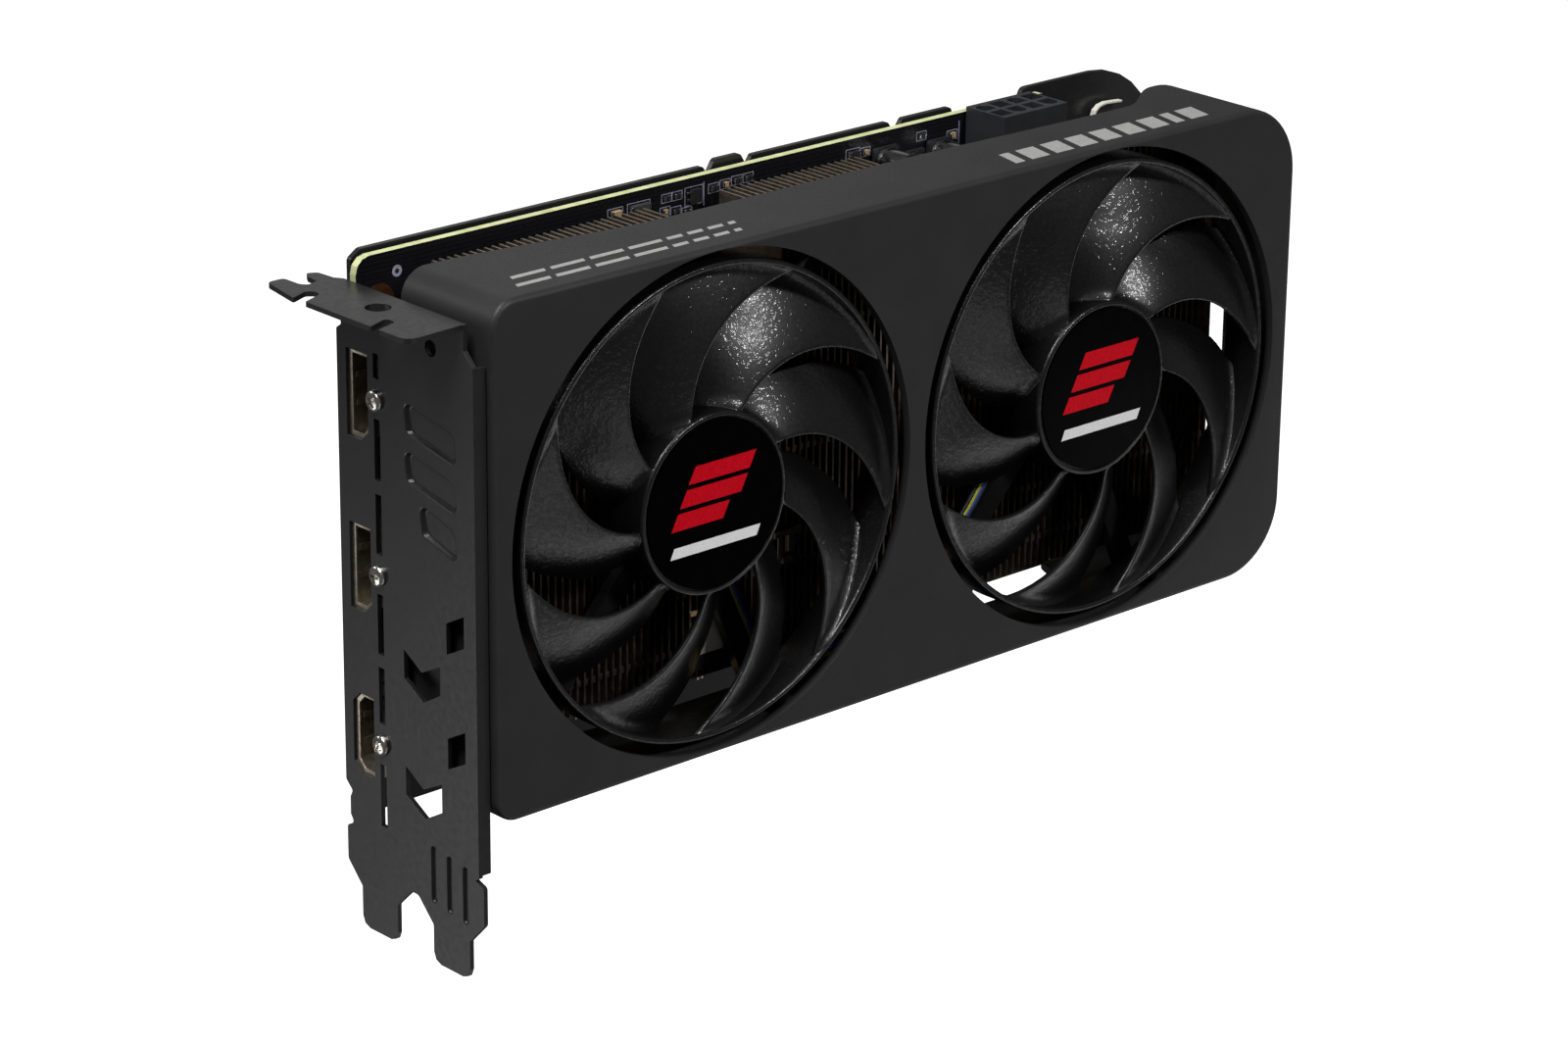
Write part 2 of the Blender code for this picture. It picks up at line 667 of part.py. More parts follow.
def board():
    """The printed circuit board with its edge connector, key slot, latch hook and port cut-outs."""
    outline = fillet([
        (BOARD_LEFT, BOARD_BOTTOM, 1.0), (40.0, BOARD_BOTTOM, 1.0), (44.9, BOARD_BOTTOM - 3.5, 0),
        (44.9, EDGE_BOTTOM, 0.6), (56.2, EDGE_BOTTOM, 0.6), (56.2, BOARD_BOTTOM - 0.6, 0.6),
        (58.1, BOARD_BOTTOM - 0.6, 0.6), (58.1, EDGE_BOTTOM, 0.6), (129.4, EDGE_BOTTOM, 0.6),
        (129.4, BOARD_BOTTOM, 0.8), (133.0, BOARD_BOTTOM, 0.8), (133.0, -49.0, 0), (138.0, -49.0, 1.5),
        (138.0, -44.0, 0), (141.0, BOARD_BOTTOM, 0), (150.0, BOARD_BOTTOM, 1.0),
        (152.0, -34.6, 1.0), (BOARD_RIGHT, -34.6, 2.0), (BOARD_RIGHT, COVER_TOP, 1.5),
        (BOARD_LEFT, COVER_TOP, 3.0)], 3)
    cuts = []
    for name in PORT_Z:
        z = on_plate(0, PORT_Z[name])[1]
        half = PORT_HEIGHT[name] / 2 + 0.1 + GAP
        cuts.append(block((-2.0, BOARD_FRONT - 2, z - half), (14.6, BOARD_BACK + 2, z + half)))
    for x, z in cooler_screw_places():
        cuts.append(disc(1.7, BOARD_FRONT - 1, BOARD_BACK + 1, (x, z), 12))
    piece("circuit_board", cut(prism(outline, "Y", BOARD_FRONT, BOARD_BACK), *cuts), board_laminate())


def cooler_screw_places():
    """The four corners of the standard square round the processor."""
    half = COOLER_HOLE_SPACING / 2
    return [(GPU_X + side * half, GPU_Z + level * half) for side in (-1, 1) for level in (-1, 1)]


def rear_plate():
    """The pressed plate behind the board, with lobes along its top and an air window at the tail."""
    top = COVER_TOP + 0.5
    dip = COVER_TOP - 1.0
    outline = fillet([
        (2.4, -41.0, 2.0), (41.0, -41.0, 1.0), (45.0, -39.0, 1.0), (130.0, -39.0, 1.0),
        (134.0, -41.0, 1.0), (148.5, -41.0, 1.0), (151.5, -33.6, 1.5), (184.5, -33.6, 0),
        (201.0, -33.6, 14.0), (201.0, top + 0.3, 18.2), (163.6, top + 0.3, 1.5), (163.6, dip, 0.5),
        (145.2, dip, 0.5), (145.2, top, 1.0), (132.4, top, 1.0), (131.4, dip, 0.5),
        (129.6, dip, 0.5), (128.6, top, 1.0), (94.6, top, 1.0), (93.6, dip, 0.5),
        (93.0, dip, 0.5), (91.6, top + 0.8, 1.2), (85.4, top + 0.8, 1.2), (84.0, dip, 0.5),
        (83.4, dip, 0.5), (82.6, top, 1.0), (4.6, top, 1.5), (2.4, dip, 1.0)], 7)
    cuts = [prism(fillet([(170.5, -22.0, 3.0), (190.5, -22.0, 3.0), (190.5, 46.0, 3.0),
                          (170.5, 46.0, 3.0)], 3), "Y", BACKPLATE_FRONT - 1, BACKPLATE_BACK + 1)]
    for x, z in cooler_screw_places():
        cuts.append(disc(3.6, BACKPLATE_FRONT - 1, BACKPLATE_BACK + 1, (x, z), 16))
    piece("rear_plate", cut(prism(outline, "Y", BACKPLATE_FRONT, BACKPLATE_BACK), *cuts), black_steel())


def cooler_screws():
    """The sprung screws that pull the cold plate on to the processor."""
    for number, place_xz in enumerate(cooler_screw_places(), 1):
        profile = [(0, 13.2), (1.3, 13.2), (1.3, 17.3), (3.2, 17.3), (3.2, 18.6), (2.7, 19.0), (0, 19.0)]
        piece("cooler_screw_%d" % number, lathe(profile, 10, place_xz), plated_metal())


def chips():
    """Processor, memory, and the pads between the memory and the cold plate."""
    half = 17.5
    piece("gpu_substrate", block((GPU_X - half, 14.0, GPU_Z - half),
                                 (GPU_X + half, BOARD_FRONT - GAP, GPU_Z + half)), board_laminate())
    piece("gpu_die", block((GPU_X - 8.5, 13.2, GPU_Z - 7.0), (GPU_X + 8.5, 13.7, GPU_Z + 7.0)), silicon())
    places = [(GPU_X - 24.8, GPU_Z + 8.4), (GPU_X - 24.8, GPU_Z - 8.4),
              (GPU_X + 8.4, GPU_Z + 26.0), (GPU_X - 8.4, GPU_Z + 26.0)]
    for number, (x, z) in enumerate(places, 1):
        body = block((x - 6.0, 14.0, z - 7.0), (x + 6.0, BOARD_FRONT - GAP, z + 7.0))
        piece("memory_chip_%d" % number, body, chip_resin())
    x, z = places[0]
    piece("thermal_pad_side", block((x - 6.0, 13.2, z - 24.0), (x + 6.0, 13.7, z + 7.0)), pad_silicone())
    x, z = places[2]
    piece("thermal_pad_top", block((x - 22.0, 13.2, z - 7.0), (x + 6.0, 13.7, z + 7.0)), pad_silicone())


def power_parts():
    """Chokes, can capacitors and the eight-way power connector."""
    for number in range(5):
        z = 33.0 - 12.0 * number
        piece("choke_%d" % (number + 1), block((128.0, 9.0, z - 4.5), (137.0, BOARD_FRONT - GAP, z + 4.5)),
              ferrite())
    cans = [(124.6, 54.6), (131.5, 52.6), (138.6, 53.6), (117.4, 47.0)]
    for number, (x, z) in enumerate(cans, 1):
        profile = [(0, 7.6), (2.6, 7.6), (3.0, 8.0), (3.0, BOARD_FRONT - GAP), (0, BOARD_FRONT - GAP)]
        piece("capacitor_%d" % number, lathe(profile, 12, (x, z)), can_aluminium())
    low = Vector((145.8, 4.6, 44.0))
    high = Vector((162.6, BOARD_FRONT - GAP, COVER_TOP - 0.1))
    shell = block(low, high)
    cell = 3.3
    sockets = []
    for column in range(4):
        for row in range(2):
            x = (low.x + high.x) / 2 + 4.15 * (column - 1.5)
            y = (low.y + high.y) / 2 + 4.5 * (row - 0.5)
            sockets.append(block((x - cell / 2, y - cell / 2, low.z + 4),
                                 (x + cell / 2, y + cell / 2, high.z + 1)))
    piece("power_connector", cut(shell, *sockets), connector_plastic())


# ---------------------------------------------------------------------------------------------
# Heatsink


def fin_pitch(left, right):
    """The pitch nearest to FIN_PITCH that puts a fin at both ends."""
    span = right - left - FIN_THICKNESS
    return span / round(span / FIN_PITCH)


def fin_stations(left, right):
    """The planes on both sides of each fin from left to right."""
    pitch = fin_pitch(left, right)
    planes = []
    for number in range(round((right - left - FIN_THICKNESS) / pitch) + 1):
        planes += [left + pitch * number, left + pitch * number + FIN_THICKNESS]
    return planes


def is_fin(x, left, right):
    return (x - left) % fin_pitch(left, right) < FIN_THICKNESS


def main_stack():
    """Fins over the processor, notched at the back for the heat pipes and at the top for parts."""
    left, right = 14.6, 113.9
    notch = (62.4, 79.0)
    bend_start = 103.5
    bend_floor = PIPE_TAIL_Y - PIPE_RADIUS - GAP
    folded = 0.5

    def filled(x, y, z):
        if notch[0] < x < notch[1] and z > 46.0:
            return False
        back = FIN_DEEP_BACK
        if -2.6 < z < 28.6:
            back = FIN_SHALLOW_BACK if x < bend_start else bend_floor
        if y > back:
            return False
        return is_fin(x, left, right) or z < FIN_BOTTOM + folded or 46.0 - folded < z < 46.0

    ys = [FIN_FRONT, bend_floor, FIN_SHALLOW_BACK, FIN_DEEP_BACK]
    zs = [FIN_BOTTOM, FIN_BOTTOM + folded, -2.6, 28.6, 46.0 - folded, 46.0, FIN_TOP]
    piece("fin_stack_main", lattice(fin_stations(left, right), ys, zs, filled), fin_aluminium())


def tail_stack():
    """Fins behind the second fan, with three notches for the heat pipes and a shallower top."""
    slot = PIPE_RADIUS + GAP
    floor = PIPE_TAIL_Y - slot
    folded = 0.5

    def filled(x, y, z):
        if y > floor and any(abs(z - height) < slot for height in PIPE_HEIGHTS.values()):
            return False
        if y > TAIL_BACK_UPPER and z > TAIL_STEP:
            return False
        return is_fin(x, TAIL_LEFT, TAIL_RIGHT) or z < FIN_BOTTOM + folded or z > TAIL_TOP - folded

    zs = [FIN_BOTTOM, FIN_BOTTOM + folded, TAIL_STEP, TAIL_TOP - folded, TAIL_TOP]
    for height in PIPE_HEIGHTS.values():
        zs += [height - slot, height + slot]
    ys = [FIN_FRONT, floor, TAIL_BACK_UPPER, TAIL_BACK]
    piece("fin_stack_tail", lattice(fin_stations(TAIL_LEFT, TAIL_RIGHT), ys, sorted(zs), filled),
          fin_aluminium())


def heat_pipes():
    """Three pipes from the cold plate, forward between the stacks, and through the tail fins."""
    for name, z in PIPE_HEIGHTS.items():
        route = [(30.0, PIPE_Y, z), (70.0, PIPE_Y, z), (103.0, PIPE_Y, z), (106.5, PIPE_Y - 0.4, z),
                 (112.2, (PIPE_Y + PIPE_TAIL_Y) / 2, z), (118.0, PIPE_TAIL_Y + 0.4, z),
                 (121.4, PIPE_TAIL_Y, z), (160.0, PIPE_TAIL_Y, z), (191.0, PIPE_TAIL_Y, z)]
        piece("heat_pipe_" + name, sweep(smooth_route(route, 2), PIPE_RADIUS), copper())


def cold_plate():
    """The plate that meets the processor."""
    piece("cold_plate", block((GPU_X - 32.0, 11.6, GPU_Z - 21.0), (GPU_X + 32.0, 12.9, GPU_Z + 34.0)),
          copper())


def build():
    clear_scene()
    bracket()
    video_ports()
    cooler_cover()
    for side, x in FAN_X.items():
        axis = (x, FAN_Z)
        origin = (x, FRONT + 5, FAN_Z)
        fan_rotor(side)
        fan_label(side, axis, origin)
        fan_motor(side, axis, origin)
        fan_frame(side)
        fan_lead(side)
    board()
    rear_plate()
    cooler_screws()
    chips()
    power_parts()
    main_stack()
    tail_stack()
    heat_pipes()
    cold_plate()


build()
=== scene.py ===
"""Looks for the two-fan graphics card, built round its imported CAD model. Lengths are millimetres until piece()."""

import json
import math
import random

import bmesh
import bpy
from mathutils import Matrix, Vector


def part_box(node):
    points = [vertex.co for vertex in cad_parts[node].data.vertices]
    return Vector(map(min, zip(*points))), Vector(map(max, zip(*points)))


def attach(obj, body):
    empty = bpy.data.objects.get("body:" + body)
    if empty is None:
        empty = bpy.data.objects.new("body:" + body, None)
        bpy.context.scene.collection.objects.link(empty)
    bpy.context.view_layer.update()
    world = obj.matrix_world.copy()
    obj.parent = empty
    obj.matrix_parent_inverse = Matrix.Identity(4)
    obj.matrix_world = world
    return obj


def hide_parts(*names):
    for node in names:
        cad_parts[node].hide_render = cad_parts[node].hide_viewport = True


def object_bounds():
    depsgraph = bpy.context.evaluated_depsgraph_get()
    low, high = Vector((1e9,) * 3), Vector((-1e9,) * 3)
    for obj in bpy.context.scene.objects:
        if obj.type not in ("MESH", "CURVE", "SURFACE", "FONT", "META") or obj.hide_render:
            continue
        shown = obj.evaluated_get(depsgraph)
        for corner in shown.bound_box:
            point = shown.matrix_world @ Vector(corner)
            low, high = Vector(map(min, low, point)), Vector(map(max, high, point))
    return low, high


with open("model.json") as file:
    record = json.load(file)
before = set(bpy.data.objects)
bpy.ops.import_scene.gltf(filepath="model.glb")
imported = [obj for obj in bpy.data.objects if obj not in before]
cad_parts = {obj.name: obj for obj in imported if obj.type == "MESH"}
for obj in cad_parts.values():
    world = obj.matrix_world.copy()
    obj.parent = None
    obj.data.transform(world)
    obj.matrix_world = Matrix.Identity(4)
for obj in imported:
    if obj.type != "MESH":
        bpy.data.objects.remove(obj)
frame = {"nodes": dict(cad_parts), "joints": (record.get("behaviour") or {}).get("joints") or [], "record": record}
CAD_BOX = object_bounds()
MM = 0.001


def node_box(name):
    """A CAD node's lowest and highest corner, in millimetres."""
    low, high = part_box(name)
    return low / MM, high / MM


# ------------------------------
# Sizes taken from the CAD model

COVER_LOW, COVER_HIGH = node_box("cooler_cover")
FRONT = COVER_LOW.y
BOARD_LOW, BOARD_HIGH = node_box("circuit_board")
REAR_BACK = node_box("rear_plate")[1].y
JOINTS = {joint["child"]: Vector(joint["pos_m"]) / MM for joint in frame["joints"]}
FAN = {side: JOINTS["fan_" + side] for side in ("left", "right")}
FAN_Z = FAN["left"].z
LABEL_RADIUS = (node_box("fan_label_left")[1].x - node_box("fan_label_left")[0].x) / 2
RING_OUTER = (node_box("fan_rotor_left")[1].x - node_box("fan_rotor_left")[0].x) / 2
RING_INNER = RING_OUTER - 1.2
HUB_RADIUS = 16.9
BLADE_TIP = 43.0
OPENING_RADIUS = RING_OUTER + 2.3
COVER_WALL = 1.6
COVER_FACE = 1.8
COVER_EDGE = 1.1                # radius of the front edge
BEYOND_COVER = FRONT + 40
EXHAUST = (-19.3, 35.0)         # bottom and top of the notch in the cover's tail wall
EXHAUST_FRONT = FRONT + 15.5
POST_REACH = ((-132, 48.9), (-66, 47.6), (48, 48.9), (114, 47.6))
ROTOR_BACK = FRONT + 9.3
TAIL_STEP = 42.0                # above this height the tail fins end in front of the power connector
TAIL_BACK_UPPER = 4.0
FIN_FOLD = 0.28
FIN_NOTCH = (62.4, 79.0, 46.0)  # left, right and floor of the gap between the main fins' upper halves
FIN_RECESS = (-2.6, 28.6)       # the fins are shallow between these heights, in front of the pipes
FIN_BACK = {"pipes": 6.2, "bend": -1.1}
BEND_START = 103.3
PIPE_SLOT = 2.7                 # half the height of the tail fins' slots for the pipes
PIPE_BACK, PIPE_FORE = 8.9, 1.6
PIPE_RADIUS = 2.4
WIRE_RADIUS = 0.52
PORT_CONTACTS = 9
BLADES = 9
PHASE = {"left": -0.5, "right": 12.3}
PIPES = ("lower", "middle", "upper")
PRINT = 0.02                    # how far ink and pads stand out


# ------------------------------
# Mesh helpers: each adds a closed shell to a bmesh


def fillet(corners, steps=8):
    """A closed outline through corners (u, v, radius), with an arc at each corner that has a radius."""
    outline = []
    for index, (u, v, radius) in enumerate(corners):
        here = Vector((u, v))
        if radius <= 0:
            outline.append((u, v))
            continue
        before = (Vector(corners[index - 1][:2]) - here).normalized()
        after = (Vector(corners[(index + 1) % len(corners)][:2]) - here).normalized()
        half = before.angle(after) / 2
        centre = here + (before + after).normalized() * (radius / math.sin(half))
        start = here + before * (radius / math.tan(half)) - centre
        turn = math.pi - 2 * half
        if before.x * after.y - before.y * after.x > 0:
            turn = -turn
        for step in range(steps + 1):
            angle = turn * step / steps
            cosine, sine = math.cos(angle), math.sin(angle)
            outline.append((centre.x + start.x * cosine - start.y * sine,
                            centre.y + start.x * sine + start.y * cosine))
    return outline


def place(axis, u, v, along):
    """A point from outline coordinates: (y, z) across X, (x, z) across Y, (x, y) across Z."""
    return {"X": (along, u, v), "Y": (u, along, v), "Z": (u, v, along)}[axis]


def add_loops(bm, loops, slot=0):
    """A skin through loops of points, one after the other, with flat ends."""
    rings = [[bm.verts.new(point) for point in loop] for loop in loops]
    count = len(rings[0])
    made = []
    for ring, following in zip(rings, rings[1:]):
        for index in range(count):
            after = (index + 1) % count
            made.append(bm.faces.new((ring[index], ring[after], following[after], following[index])))
    made += [bm.faces.new(rings[0][::-1]), bm.faces.new(rings[-1])]
    for face in made:
        face.material_index = slot


def add_prism(bm, outline, axis, low, high, slot=0):
    add_loops(bm, [[place(axis, u, v, along) for u, v in outline] for along in (low, high)], slot)


def add_block(bm, low, high, slot=0):
    outline = [(low[0], low[1]), (high[0], low[1]), (high[0], high[1]), (low[0], high[1])]
    add_prism(bm, outline, "Z", low[2], high[2], slot)


def add_lathe(bm, profile, segments, centre=(0.0, 0.0), axis="Y", slot=0):
    """A closed profile of (radius, along) turned round an axis through centre."""
    rings = []
    for radius, along in profile:
        if radius < 1e-6:
            rings.append([bm.verts.new(place(axis, centre[0], centre[1], along))])
            continue
        ring = []
        for index in range(segments):
            angle = 2 * math.pi * index / segments
            ring.append(bm.verts.new(place(axis, centre[0] + radius * math.cos(angle),
                                           centre[1] + radius * math.sin(angle), along)))
        rings.append(ring)
    for index, ring in enumerate(rings):
        following = rings[(index + 1) % len(rings)]
        for step in range(segments):
            after = (step + 1) % segments
            corners = []
            for vertex in (ring[step % len(ring)], ring[after % len(ring)],
                           following[after % len(following)], following[step % len(following)]):
                if vertex not in corners:
                    corners.append(vertex)
            if len(corners) > 2:
                bm.faces.new(corners).material_index = slot


def add_tube(bm, points, radii, sides, slot=0):
    """A round tube along a list of points, with a radius at each, and flat ends."""
    points = [Vector(point) for point in points]
    loops = []
    side = None
    for index, point in enumerate(points):
        before = points[max(0, index - 1)]
        after = points[min(len(points) - 1, index + 1)]
        tangent = (after - before).normalized()
        if side is None:
            side = tangent.orthogonal().normalized()
        side = (side - tangent * side.dot(tangent)).normalized()
        other = tangent.cross(side)
        loops.append([point + (side * math.cos(2 * math.pi * k / sides)
                               + other * math.sin(2 * math.pi * k / sides)) * radii[index] for k in range(sides)])
    add_loops(bm, loops, slot)


def smooth_route(route, steps):
    """Points along a Catmull-Rom curve through a route, with steps points for each span."""
    places = [Vector(point) for point in [route[0]] + list(route) + [route[-1]]]
    points = []
    for a, b, c, d in zip(places, places[1:], places[2:], places[3:]):
        for step in range(steps):
            t = step / steps
            points.append(((2 * b) + (c - a) * t + (2 * a - 5 * b + 4 * c - d) * t * t
                           + (3 * b - a - 3 * c + d) * t ** 3) / 2)
    points.append(places[-2])
    return points


def to_mesh(bm, name):
    bmesh.ops.recalc_face_normals(bm, faces=bm.faces)
    mesh = bpy.data.meshes.new(name)
    bm.to_mesh(mesh)
    bm.free()
    return mesh


def cut_out(bm, tool):
    """A bmesh less another, as a new bmesh."""
    pair = []
    for part in (bm, tool):
        item = bpy.data.objects.new("part", to_mesh(part, "part"))
        bpy.context.scene.collection.objects.link(item)
        pair.append(item)
    modifier = pair[0].modifiers.new("boolean", "BOOLEAN")
    modifier.operation = "DIFFERENCE"
    modifier.solver = "EXACT"
    modifier.object = pair[1]
    graph = bpy.context.evaluated_depsgraph_get()
    result = bmesh.new()
    result.from_mesh(pair[0].evaluated_get(graph).to_mesh())
    for item in pair:
        mesh = item.data
        bpy.data.objects.remove(item, do_unlink=True)
        bpy.data.meshes.remove(mesh)
    return result


# ------------------------------
# Materials


class Surface:
    """A Principled BSDF with procedural colour, roughness and relief in object space."""

    def __init__(self, name, roughness, metallic=0.0, specular=0.5, coat_roughness=0.1):
        self.material = bpy.data.materials.new(name)
        self.material.use_nodes = True
        self.tree = self.material.node_tree
        self.shader = self.tree.nodes["Principled BSDF"]
        for socket, value in (("Roughness", roughness), ("Metallic", metallic), ("Specular IOR Level", specular),
                              ("Coat Roughness", coat_roughness)):
            self.shader.inputs[socket].default_value = value
        self.place = self.tree.nodes.new("ShaderNodeTexCoord").outputs["Object"]
        self.relief = None

    def link(self, output, target):
        self.tree.links.new(output, target)

    def node(self, kind, **values):
        """A shader node with plain values, or links, put into its sockets by name."""
        made = self.tree.nodes.new("ShaderNode" + kind)
        for name, value in values.items():
            socket = made.inputs[name.replace("_", " ")]
            if isinstance(value, bpy.types.NodeSocket):
                self.link(value, socket)
            else:
                socket.default_value = value
        return made

    def stretched(self, scale):
        return self.node("Mapping", Scale=scale, Vector=self.place).outputs["Vector"]

    def noise(self, size_mm, detail=2.0, rough=0.5, stretch=None):
        """Noise whose patches are about size_mm across."""
        place = self.stretched(stretch) if stretch else self.place
        return self.node("TexNoise", Scale=1 / MM / size_mm, Detail=detail, Roughness=rough,
                         Vector=place).outputs["Fac"]

    def cells(self, size_mm, output):
        return self.node("TexVoronoi", Scale=1 / MM / size_mm, Vector=self.place).outputs[output]

    def ramp(self, value, dark, light):
        """A colour that goes from dark to light over the middle of a noise."""
        made = self.node("ValToRGB", Fac=value)
        for element, position, colour in zip(made.color_ramp.elements, (0.3, 0.7), (dark, light)):
            element.position = position
            element.color = (*colour, 1.0)
        return made.outputs["Color"]

    def ranged(self, value, low, high, from_low=0.3, from_high=0.7):
        return self.node("MapRange", Value=value, From_Min=from_low, From_Max=from_high, To_Min=low,
                         To_Max=high).outputs["Result"]

    def maths(self, operation, first, second=0.5):
        made = self.tree.nodes.new("ShaderNodeMath")
        made.operation = operation
        for socket, value in zip(made.inputs, (first, second)):
            if isinstance(value, float):
                socket.default_value = value
            else:
                self.link(value, socket)
        return made.outputs[0]

    def mixed(self, factor, first, second):
        """Two colours, each a socket or a plain colour, mixed by a factor."""
        made = self.tree.nodes.new("ShaderNodeMix")
        made.data_type = "RGBA"
        self.link(factor, made.inputs["Factor"])
        for socket, value in ((made.inputs[6], first), (made.inputs[7], second)):
            if isinstance(value, tuple):
                socket.default_value = (*value, 1.0)
            else:
                self.link(value, socket)
        return made.outputs[2]

    def colour(self, value):
        self.link(value, self.shader.inputs["Base Color"])
        return self

    def rough(self, value):
        self.link(value, self.shader.inputs["Roughness"])
        return self

    def bump(self, value, strength, depth_mm):
        """Relief of about depth_mm, laid over any relief that is already there."""
        made = self.node("Bump", Strength=strength, Distance=depth_mm * MM, Height=value)
        if self.relief is not None:
            self.link(self.relief, made.inputs["Normal"])
        self.relief = made.outputs["Normal"]
        self.link(self.relief, self.shader.inputs["Normal"])
        return self


def speckled(surface, base, speck, size_mm=1.1, share=0.035):
    """A base colour with a few tiny pale specks of dust."""
    spots = surface.cells(size_mm, "Distance")
    chosen = surface.cells(size_mm, "Color")
    few = surface.maths("GREATER_THAN", chosen, 1.0 - share)
    near = surface.maths("LESS_THAN", spots, 0.07)
    return surface.mixed(surface.maths("MULTIPLY", few, near), base, speck)


def moulded_plastic(name, dark, light, roughness, grain_mm, strength, depth_mm, dust=False, specular=0.5):
    """Black plastic with moulded grain, slight mottling and a little dust."""
    surface = Surface(name, roughness, specular=specular)
    tone = surface.ramp(surface.noise(9.0, 3.0), dark, light)
    surface.colour(speckled(surface, tone, (0.18, 0.18, 0.18)) if dust else tone)
    surface.rough(surface.ranged(surface.noise(grain_mm * 1.7, 2.0), roughness - 0.05, roughness + 0.06))
    surface.bump(surface.noise(grain_mm, 3.0, 0.6), strength, depth_mm)
    return surface.material


def sparkling_plastic():
    """Satin black plastic whose fine spark-eroded grain breaks a highlight into glints."""
    surface = Surface("fan_look", 0.35, specular=0.38, coat_roughness=0.09)
    tone = surface.ramp(surface.noise(9.0, 3.0), (0.0028, 0.0028, 0.003), (0.0042, 0.0042, 0.0044))
    surface.colour(speckled(surface, tone, (0.14, 0.14, 0.14), 1.4, 0.03))
    surface.rough(surface.ranged(surface.noise(0.7, 2.0), 0.31, 0.39))
    surface.bump(surface.noise(1.2, 2.0, 0.6), 1.0, 0.24)
    surface.link(surface.relief, surface.shader.inputs["Coat Normal"])
    surface.relief = None
    glints = surface.ranged(surface.noise(0.8, 2.0, 0.8), 0.3, 0.55, 0.48, 0.6)
    surface.link(glints, surface.shader.inputs["Coat Weight"])
    surface.bump(surface.noise(0.6, 2.0), 0.35, 0.03)
    return surface.material


def worn_metal(name, dark, light, roughness, spread=0.08, patch_mm=3.0, stretch=None, depth_mm=0.01):
    """Bare metal with patchy colour and fine drawn or pressed lines."""
    surface = Surface(name, roughness, 1.0)
    surface.colour(surface.ramp(surface.noise(patch_mm, 4.0, 0.6, stretch), dark, light))
    surface.rough(surface.ranged(surface.noise(patch_mm * 0.4, 3.0), roughness - spread, roughness + spread))
    surface.bump(surface.noise(0.35, 3.0, 0.6, stretch), 0.25, depth_mm)
    return surface.material


def powder_coat():
    surface = Surface("powder_coat_look", 0.34)
    tone = surface.ramp(surface.noise(14.0, 3.0), (0.0105, 0.0105, 0.011), (0.015, 0.015, 0.0158))
    surface.colour(speckled(surface, tone, (0.16, 0.16, 0.16), 1.3, 0.02))
    surface.rough(surface.ranged(surface.noise(1.2, 3.0), 0.29, 0.39))
    surface.bump(surface.noise(0.7, 2.0), 0.12, 0.03)
    surface.bump(surface.noise(0.16, 2.0), 0.15, 0.01)
    return surface.material


def board_look():
    """Black solder mask with faint tracks under it on the faces, and pale laminate on the edges."""
    surface = Surface("board_look", 0.3, specular=0.45)
    across = surface.tree.nodes.new("ShaderNodeTexCoord").outputs["Normal"]
    split = surface.node("SeparateXYZ", Vector=across)
    facing = surface.maths("GREATER_THAN", surface.maths("ABSOLUTE", split.outputs["Y"]), 0.6)
    turned = surface.node("Mapping", Rotation=(math.radians(90), math.radians(38), 0), Vector=surface.place)
    tracks = surface.node("TexBrick", Scale=1 / MM, Mortar_Size=0.16, Mortar_Smooth=0.3, Brick_Width=7.0,
                          Row_Height=0.8, Color1=(0.006, 0.0062, 0.008, 1), Color2=(0.0075, 0.0078, 0.0095, 1),
                          Mortar=(0.0035, 0.0036, 0.005, 1), Vector=turned.outputs["Vector"])
    tracks.offset = 0.35
    layers = surface.ramp(surface.noise(1.6, 3.0, 0.6, (1, 0.05, 1)), (0.46, 0.5, 0.25), (0.62, 0.65, 0.36))
    surface.colour(surface.mixed(facing, layers, tracks.outputs["Color"]))
    surface.rough(surface.ranged(facing, 0.6, 0.3, 0.0, 1.0))
    surface.bump(tracks.outputs["Fac"], 0.15, 0.02)
    surface.bump(surface.noise(0.5, 3.0), 0.1, 0.01)
    return surface.material


def glossy_film():
    surface = Surface("label_look", 0.14, specular=0.05)
    surface.colour(surface.ramp(surface.noise(5.0), (0.0001, 0.0001, 0.0001), (0.0004, 0.0004, 0.0004)))
    surface.rough(surface.ranged(surface.noise(2.5, 3.0), 0.11, 0.18))
    surface.bump(surface.noise(6.0), 0.05, 0.02)
    return surface.material


def ink(name, dark, light, roughness=0.4, specular=0.5):
    """Screen ink with slightly uneven cover."""
    surface = Surface(name, roughness, specular=specular)
    surface.colour(surface.ramp(surface.noise(0.8, 3.0), dark, light))
    surface.rough(surface.ranged(surface.noise(0.4, 2.0), roughness - 0.06, roughness + 0.06))
    surface.bump(surface.noise(0.25, 2.0), 0.2, 0.008)
    return surface.material


def wound_copper():
    surface = Surface("winding_look", 0.3, 0.9)
    lines = surface.noise(0.3, 2.0, 0.5, (1, 6, 1))
    surface.colour(surface.ramp(lines, (0.22, 0.06, 0.02), (0.55, 0.2, 0.07)))
    surface.bump(lines, 0.6, 0.1)
    return surface.material


def sintered(name, dark, light, roughness=0.6):
    """Ferrite, bonded magnet, resin and pads: a dull surface with fine pits."""
    surface = Surface(name, roughness)
    surface.colour(surface.ramp(surface.noise(0.4, 4.0, 0.7), dark, light))
    surface.rough(surface.ranged(surface.noise(0.9, 3.0), roughness - 0.08, roughness + 0.08))
    surface.bump(surface.noise(0.22, 3.0, 0.7), 0.4, 0.03)
    return surface.material


